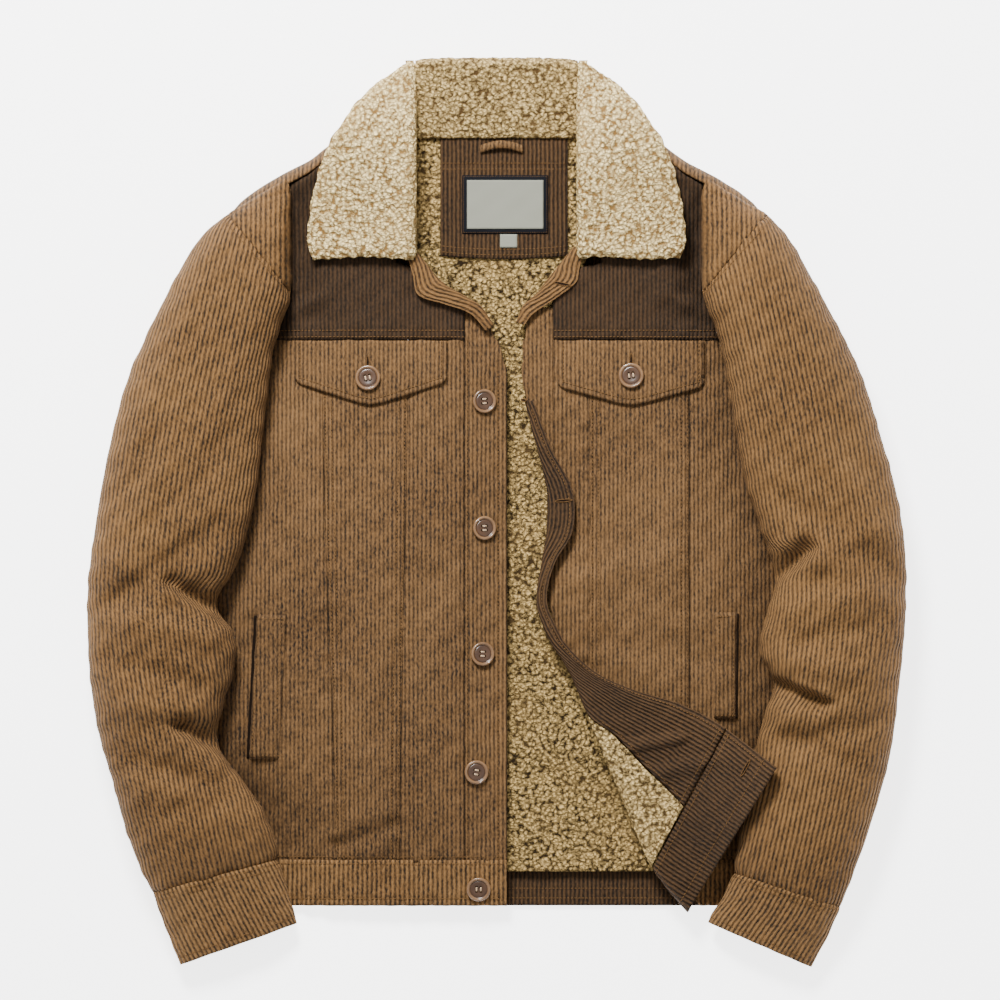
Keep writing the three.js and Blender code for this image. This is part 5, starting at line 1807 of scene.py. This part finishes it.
def make_sleeves(finishes: Finishes, tree: bpy.types.GeometryNodeTree) -> list[Sleeve]:
    """Both sleeves with their measured sections.

    Args:
        finishes: the materials.
        tree: the stitches' node tree.

    Returns:
        The left and the right sleeve.
    """
    tables = {
        Side.LEFT: ([
            [235, 259, 179, 192, 64], [259, 237, 182, 178, 70], [280, 202, 188, 162, 72],
            [306, 150, 195, 138, 72], [321, 115, 198, 112, 72], [335, 63, 204, 63, 72],
            [344, 19, 209, 19, 72], [350, -20, 217, -18, 72], [354, -50, 226, -46, 70],
            [356, -80, 244, -80, 67],
            [355.5, -106, 228, -106, 70], [354, -136, 228, -136, 71], [351, -163, 235, -160, 70],
            [344.5, -198, 243, -199, 66], [334, -233, 222, -231, 68], [325, -267, 203, -259, 65],
            [313, -302, 193, -283, 57], [300, -330, 190.5, -301, 46]],
            [[299.8, -330.8, 190.3, -301.8, 45], [291, -355, 183, -325, 38], [279, -386, 176, -350, 30],
             [275.5, -394, 174, -358, 27]], (234.4, 260.0, 192.0)),
        Side.RIGHT: ([
            [236, 259, 179, 192, 64], [255, 237, 183, 178, 70], [275, 202, 189, 163, 72],
            [303, 150, 195, 144, 72], [319, 115, 201, 115, 72], [335, 63, 209, 63, 72],
            [347, 20, 218, 20, 72], [354, -20, 231, -18, 72], [356, -46, 239, -42, 70],
            [356, -64, 243, -60, 67], [355.5, -93, 232, -98, 70],
            [353, -124, 229, -122, 69], [349.5, -154, 241, -148, 66], [347, -180, 233, -176, 67],
            [341.5, -215, 225, -207, 62], [332, -250, 219, -240, 60], [320, -288, 213, -274, 57],
            [309, -318, 209, -296, 52], [299.5, -343, 206.5, -313, 46]],
            [[299.3, -343.8, 206.3, -313.8, 45], [291, -364, 198, -333, 38], [278, -389, 187, -350, 30],
             [274.5, -396.2, 184, -357, 27]], (235.4, 260.0, 192.0)),
    }
    return [
        Sleeve(side, finishes, tree, Rows(rows), Rows(cuff), Rows([
            [x, y, 178.6, inner_y, 63, 32, 22], [216, 270.5, 178.4, 215, 59, 34, 14],
            [201, 279.5, 178.4, 245, 50, 36, 18], [183, 290, 178.4, 281, 40, 37, 30]]))
        for side, (rows, cuff, (x, y, inner_y)) in tables.items()
    ]


@dataclass
class Buttons:
    """Horn buttons with a raised rim, a dished middle and four holes, sewn with two bars of thread."""

    finishes: Finishes
    radius: float = 10.5
    flap_radius: float = 11.0
    hole: float = 1.25
    hole_place: float = 2.6
    segments: int = 56
    profile: tuple[tuple[float, float], ...] = (
        (0.0, 0.0), (0.78, 0.0), (0.93, 0.04), (1.0, 0.13), (1.0, 0.24), (0.97, 0.31), (0.91, 0.345),
        (0.84, 0.345), (0.79, 0.31), (0.745, 0.235), (0.7, 0.215), (0.66, 0.24), (0.6, 0.255), (0.4, 0.215),
        (0.2, 0.19), (0.0, 0.186))
    rim_from: float = 0.75
    front_places: tuple[tuple[float, float], ...] = (
        (-11, 97), (-11, -13.5), (-12.6, -123), (-17.8, -226), (-15.6, -328))

    def _blank(self) -> bpy.types.Object:
        """The turned disc with its four holes cut, of radius 1 at the origin.

        Returns:
            The object, not yet in its place.
        """
        turns = np.arange(self.segments) * 2 * math.pi / self.segments
        rings = [(r, h) for r, h in self.profile if r > 0]
        vertices = [(r * math.cos(a), r * math.sin(a), h) for r, h in rings for a in turns]
        n = self.segments
        faces = [(i * n + j, i * n + (j + 1) % n, (i + 1) * n + (j + 1) % n, (i + 1) * n + j)
                 for i in range(len(rings) - 1) for j in range(n)]
        faces += [tuple(reversed(range(n))), tuple((len(rings) - 1) * n + j for j in range(n))]
        mesh = bpy.data.meshes.new("button_blank")
        mesh.from_pydata(vertices, [], faces)
        blank = bpy.data.objects.new("button_blank", mesh)
        bpy.context.scene.collection.objects.link(blank)
        drills = []
        for k in range(4):
            angle = math.radians(45 + 90 * k)
            place = self.hole_place / self.radius
            bpy.ops.mesh.primitive_cylinder_add(
                vertices=16, radius=self.hole / self.radius, depth=1.0,
                location=(place * math.cos(angle), place * math.sin(angle), 0.1))
            drills.append(bpy.context.object)
            cut = blank.modifiers.new(f"hole_{k}", "BOOLEAN")
            cut.operation, cut.object, cut.solver = "DIFFERENCE", drills[-1], "EXACT"
        evaluated = blank.evaluated_get(bpy.context.evaluated_depsgraph_get())
        cut_mesh = bpy.data.meshes.new_from_object(evaluated)
        blank.modifiers.clear()
        blank.data = cut_mesh
        for drill in drills:
            bpy.data.objects.remove(drill)
        return blank

    def _threads(self, radius: float) -> tuple[list, list]:
        """Two bars of thread between the holes, as small six-sided tubes in millimetres.

        Args:
            radius: the button's radius.

        Returns:
            Vertices and faces.
        """
        vertices, faces = [], []
        for sign in (-1, 1):
            for strand in (-0.32, 0.32):
                start = len(vertices)
                offset = self.hole_place * 0.707
                for k in range(7):
                    t = k / 6
                    x = sign * offset + strand
                    y = mix(-offset, offset, t)
                    z = 0.2 * radius + 0.6 * max(0.0, math.sin(math.pi * t)) ** 0.5 - 0.1
                    for j in range(6):
                        a = j * math.pi / 3
                        vertices.append((x + 0.34 * math.cos(a), y, z + 0.34 * math.sin(a)))
                for k in range(6):
                    for j in range(6):
                        a, b = start + k * 6 + j, start + k * 6 + (j + 1) % 6
                        faces.append((a, b, b + 6, a + 6))
                faces.append(tuple(start + j for j in reversed(range(6))))
                faces.append(tuple(start + 36 + j for j in range(6)))
        return vertices, faces

    def build(self) -> None:
        """Place every button and its thread."""
        blank = self._blank()
        places = [(f"button_{i + 1}", LEFT_FRONT, x, y, 0.5 + (1.5 if y < WAIST_SEAM_Y else 0.0), self.radius)
                  for i, (x, y) in enumerate(self.front_places)]
        places += [("flap_button_left", LEFT_FRONT, -112, 117, 4.3, self.flap_radius),
                   ("flap_button_right", RIGHT_FRONT, 117, 119, 4.3, self.flap_radius)]
        for name, front, x, y, lift, radius in places:
            normal = Vector(front.normal(np.array([float(x)]), np.array([float(y)]))[0])
            height = float(front.height(np.array([float(x)]), np.array([float(y)]))[0]) + lift
            turn = normal.to_track_quat("Z", "Y").to_matrix().to_4x4()
            base = Matrix.Translation(Vector((x, y, height)) * MM) @ turn
            disc = bpy.data.objects.new(f"{name}_horn", blank.data.copy())
            disc.data.transform(base @ Matrix.Scale(radius * MM, 4))
            self._dress(disc, self.finishes.horn)
            disc.data.materials.append(self.finishes.rim)
            for face, place in zip(disc.data.polygons, blank.data.polygons):
                face.material_index = int(place.center.xy.length > self.rim_from)
            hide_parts(name)
            vertices, faces = self._threads(radius)
            mesh = bpy.data.meshes.new(f"{name}_thread")
            mesh.from_pydata(vertices, [], faces)
            mesh.transform(base @ Matrix.Scale(MM, 4))
            self._dress(bpy.data.objects.new(f"{name}_thread", mesh), self.finishes.pale_thread)
            log.info("%s: radius %.1f mm", name, radius)
        bpy.data.objects.remove(blank)

    def _dress(self, thing: bpy.types.Object, finish: bpy.types.Material) -> None:
        """Link a piece, give it its finish and let it ride on the jacket.

        Args:
            thing: the piece.
            finish: its material.
        """
        bpy.context.scene.collection.objects.link(thing)
        thing.data.materials.clear()
        thing.data.materials.append(finish)
        thing.data.shade_smooth()
        thing.data.set_sharp_from_angle(angle=math.radians(40))
        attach(thing, BODY)


@dataclass
class Buttonholes:
    """Slits in the cloth with their edges closely sewn."""

    finishes: Finishes
    tree: bpy.types.GeometryNodeTree
    half_width: float = 1.15
    slit_width: float = 0.8
    segments: int = 24

    def _holes(self) -> list[tuple[Grid, Grid, Grid, float]]:
        """Find the holes' places.

        Returns:
            Centre, direction, normal and half length in millimetres of every hole.
        """
        holes = []
        for turn, share, reach, across in (
            (TURN_RIGHT, 0.0, None, False),
            (TURN_RIGHT, 0.2, None, True),
            (TURN_RIGHT, 0.955, 17.0, True),
            (TURN_RIGHT_NECK, 0.28, None, True),
        ):
            v = np.array([share + 0.0])
            length = turn.length(v)
            middle = length - 9.0 if reach is None else length - reach
            point, normal = turn.sewn(v, middle, 0.5)
            beside = turn.sewn(v, middle + 1.0, 0.5)[0]
            way = beside[0] - point[0]
            holes.append((point[0], way / np.linalg.norm(way), normal[0], 8.0 if across else 5.0))
        for front, x, y in ((LEFT_FRONT, -112.0, 128.5), (RIGHT_FRONT, 117.0, 130.5)):
            point, normal = front.sewn(np.array([x]), np.array([y]), 4.2)
            holes.append((point[0], np.array([0.0, 1.0, 0.0]), normal[0], 8.0))
        return holes

    def build(self) -> None:
        """Build the slits as one piece and sew round them."""
        sewing = Sewing("buttonhole_sewing", self.tree, "corduroy", 0.85, 1.0, 0.45)
        turns = np.linspace(0, 2 * math.pi, self.segments, endpoint=False)
        vertices, faces = [], []
        for centre, way, normal, half in self._holes():
            side = np.cross(normal, way)
            ring = [
                np.outer(np.cos(turns) * half * share, way) + np.outer(np.sin(turns) * width, side) + centre
                for share, width in ((1.0, self.half_width), (0.94, self.slit_width))
            ]
            sewing.add(np.concatenate([ring[0], ring[0][:1]]), np.tile(normal, (self.segments + 1, 1)))
            start = len(vertices)
            vertices += [*(ring[1] - normal * 0.35), *(ring[1] + normal * 0.05)]
            n = self.segments
            faces.append(tuple(start + k for k in reversed(range(n))))
            faces.append(tuple(start + n + k for k in range(n)))
            faces += [(start + k, start + (k + 1) % n, start + n + (k + 1) % n, start + n + k)
                      for k in range(n)]
        sewing.build()
        mesh = bpy.data.meshes.new("buttonhole_slits")
        mesh.from_pydata((np.array(vertices) * MM).tolist(), [], faces)
        slits = bpy.data.objects.new("buttonhole_slits", mesh)
        bpy.context.scene.collection.objects.link(slits)
        # The slits are filled with near-black: painted shade in the holes.
        mesh.materials.append(self.finishes.shade_fill)
        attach(slits, BODY)
        log.info("buttonholes: %d", len(self._holes()))


@dataclass
class Studio:
    """A pale floor, soft light and the camera straight above."""

    photo_scale: float = 0.870  # metres across the photo's 1000 px
    centre: tuple[float, float] = (0.0030, 0.0109)
    distance: float = 8.0
    sensor: float = 36.0
    floor_size: float = 12.0
    floor_below: float = 0.0005  # how far the floor lies under the jacket, in metres
    floor_grey: float = 0.9
    floor_glow: float = 3.4  # lifts the floor to the photo's white
    sky: tuple[float, float, float, float] = (1.0, 0.99, 0.97, 1.0)
    sky_strength: float = 0.8

    def build(self) -> None:
        """Make the floor, the lights, the sky and the camera."""
        bpy.ops.mesh.primitive_plane_add(size=self.floor_size, location=(0, 0, -self.floor_below))
        floor = bpy.context.object
        floor.name = "floor"
        paper = Shader("floor_paper")
        paper.finish((*[self.floor_grey] * 3, 1.0), 0.9)
        paper.fixed({"Emission Color": (1.0, 1.0, 1.0, 1.0), "Emission Strength": self.floor_glow})
        floor.data.materials.append(paper.material)
        floor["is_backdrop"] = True
        world = bpy.data.worlds.new("sky")
        bpy.context.scene.world = world
        world.use_nodes = True
        sky = world.node_tree.nodes["Background"].inputs
        sky["Color"].default_value, sky["Strength"].default_value = self.sky, self.sky_strength
        self._lamp("key", (-0.5, 1.8, 1.9), 0.7, 190)
        self._lamp("fill", (1.2, -0.6, 2.4), 1.6, 3)
        camera = bpy.data.cameras.new("camera")
        camera.lens = self.sensor * self.distance / self.photo_scale
        camera.sensor_width = self.sensor
        camera.clip_start, camera.clip_end = 0.1, 50.0
        holder = bpy.data.objects.new("camera", camera)
        holder.location = (*self.centre, self.distance + 0.03)
        bpy.context.scene.collection.objects.link(holder)
        bpy.context.scene.camera = holder

    @staticmethod
    def _lamp(name: str, place: tuple[float, float, float], size: float, power: float) -> None:
        """A square soft light that faces the jacket.

        Args:
            name: its name.
            place: where it stands, in metres.
            size: width in metres.
            power: watts.
        """
        light = bpy.data.lights.new(name, "AREA")
        light.size, light.energy = size, power
        lamp = bpy.data.objects.new(name, light)
        lamp.location = place
        lamp.rotation_euler = (-Vector(place)).to_track_quat("-Z", "Y").to_euler()
        bpy.context.scene.collection.objects.link(lamp)


def main() -> tuple[Vector, Vector]:
    """Load the frame and build the jacket over it.

    Returns:
        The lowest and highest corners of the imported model.
    """
    logging.basicConfig(level=logging.INFO, format="%(name)s %(message)s")
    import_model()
    cad_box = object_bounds()
    finishes = make_finishes()
    tree = stitch_tree(finishes.thread)
    Back(finishes, tree).build()
    Neck(finishes, tree).build()
    FrontPanels(LEFT_FRONT, finishes, tree).build()
    FrontPanels(RIGHT_FRONT, finishes, tree, centre_bottom=-148.0, mid_bottom=-285.0,
                placket_span=(46.0, 178.0)).build()
    TurnedEdges(finishes, tree).build()
    Collar(finishes).build()
    for sleeve in make_sleeves(finishes, tree):
        sleeve.build()
    Buttons(finishes).build()
    Buttonholes(finishes, tree).build()
    Studio().build()
    return cad_box


if __name__ == "__main__":
    low, high = main()
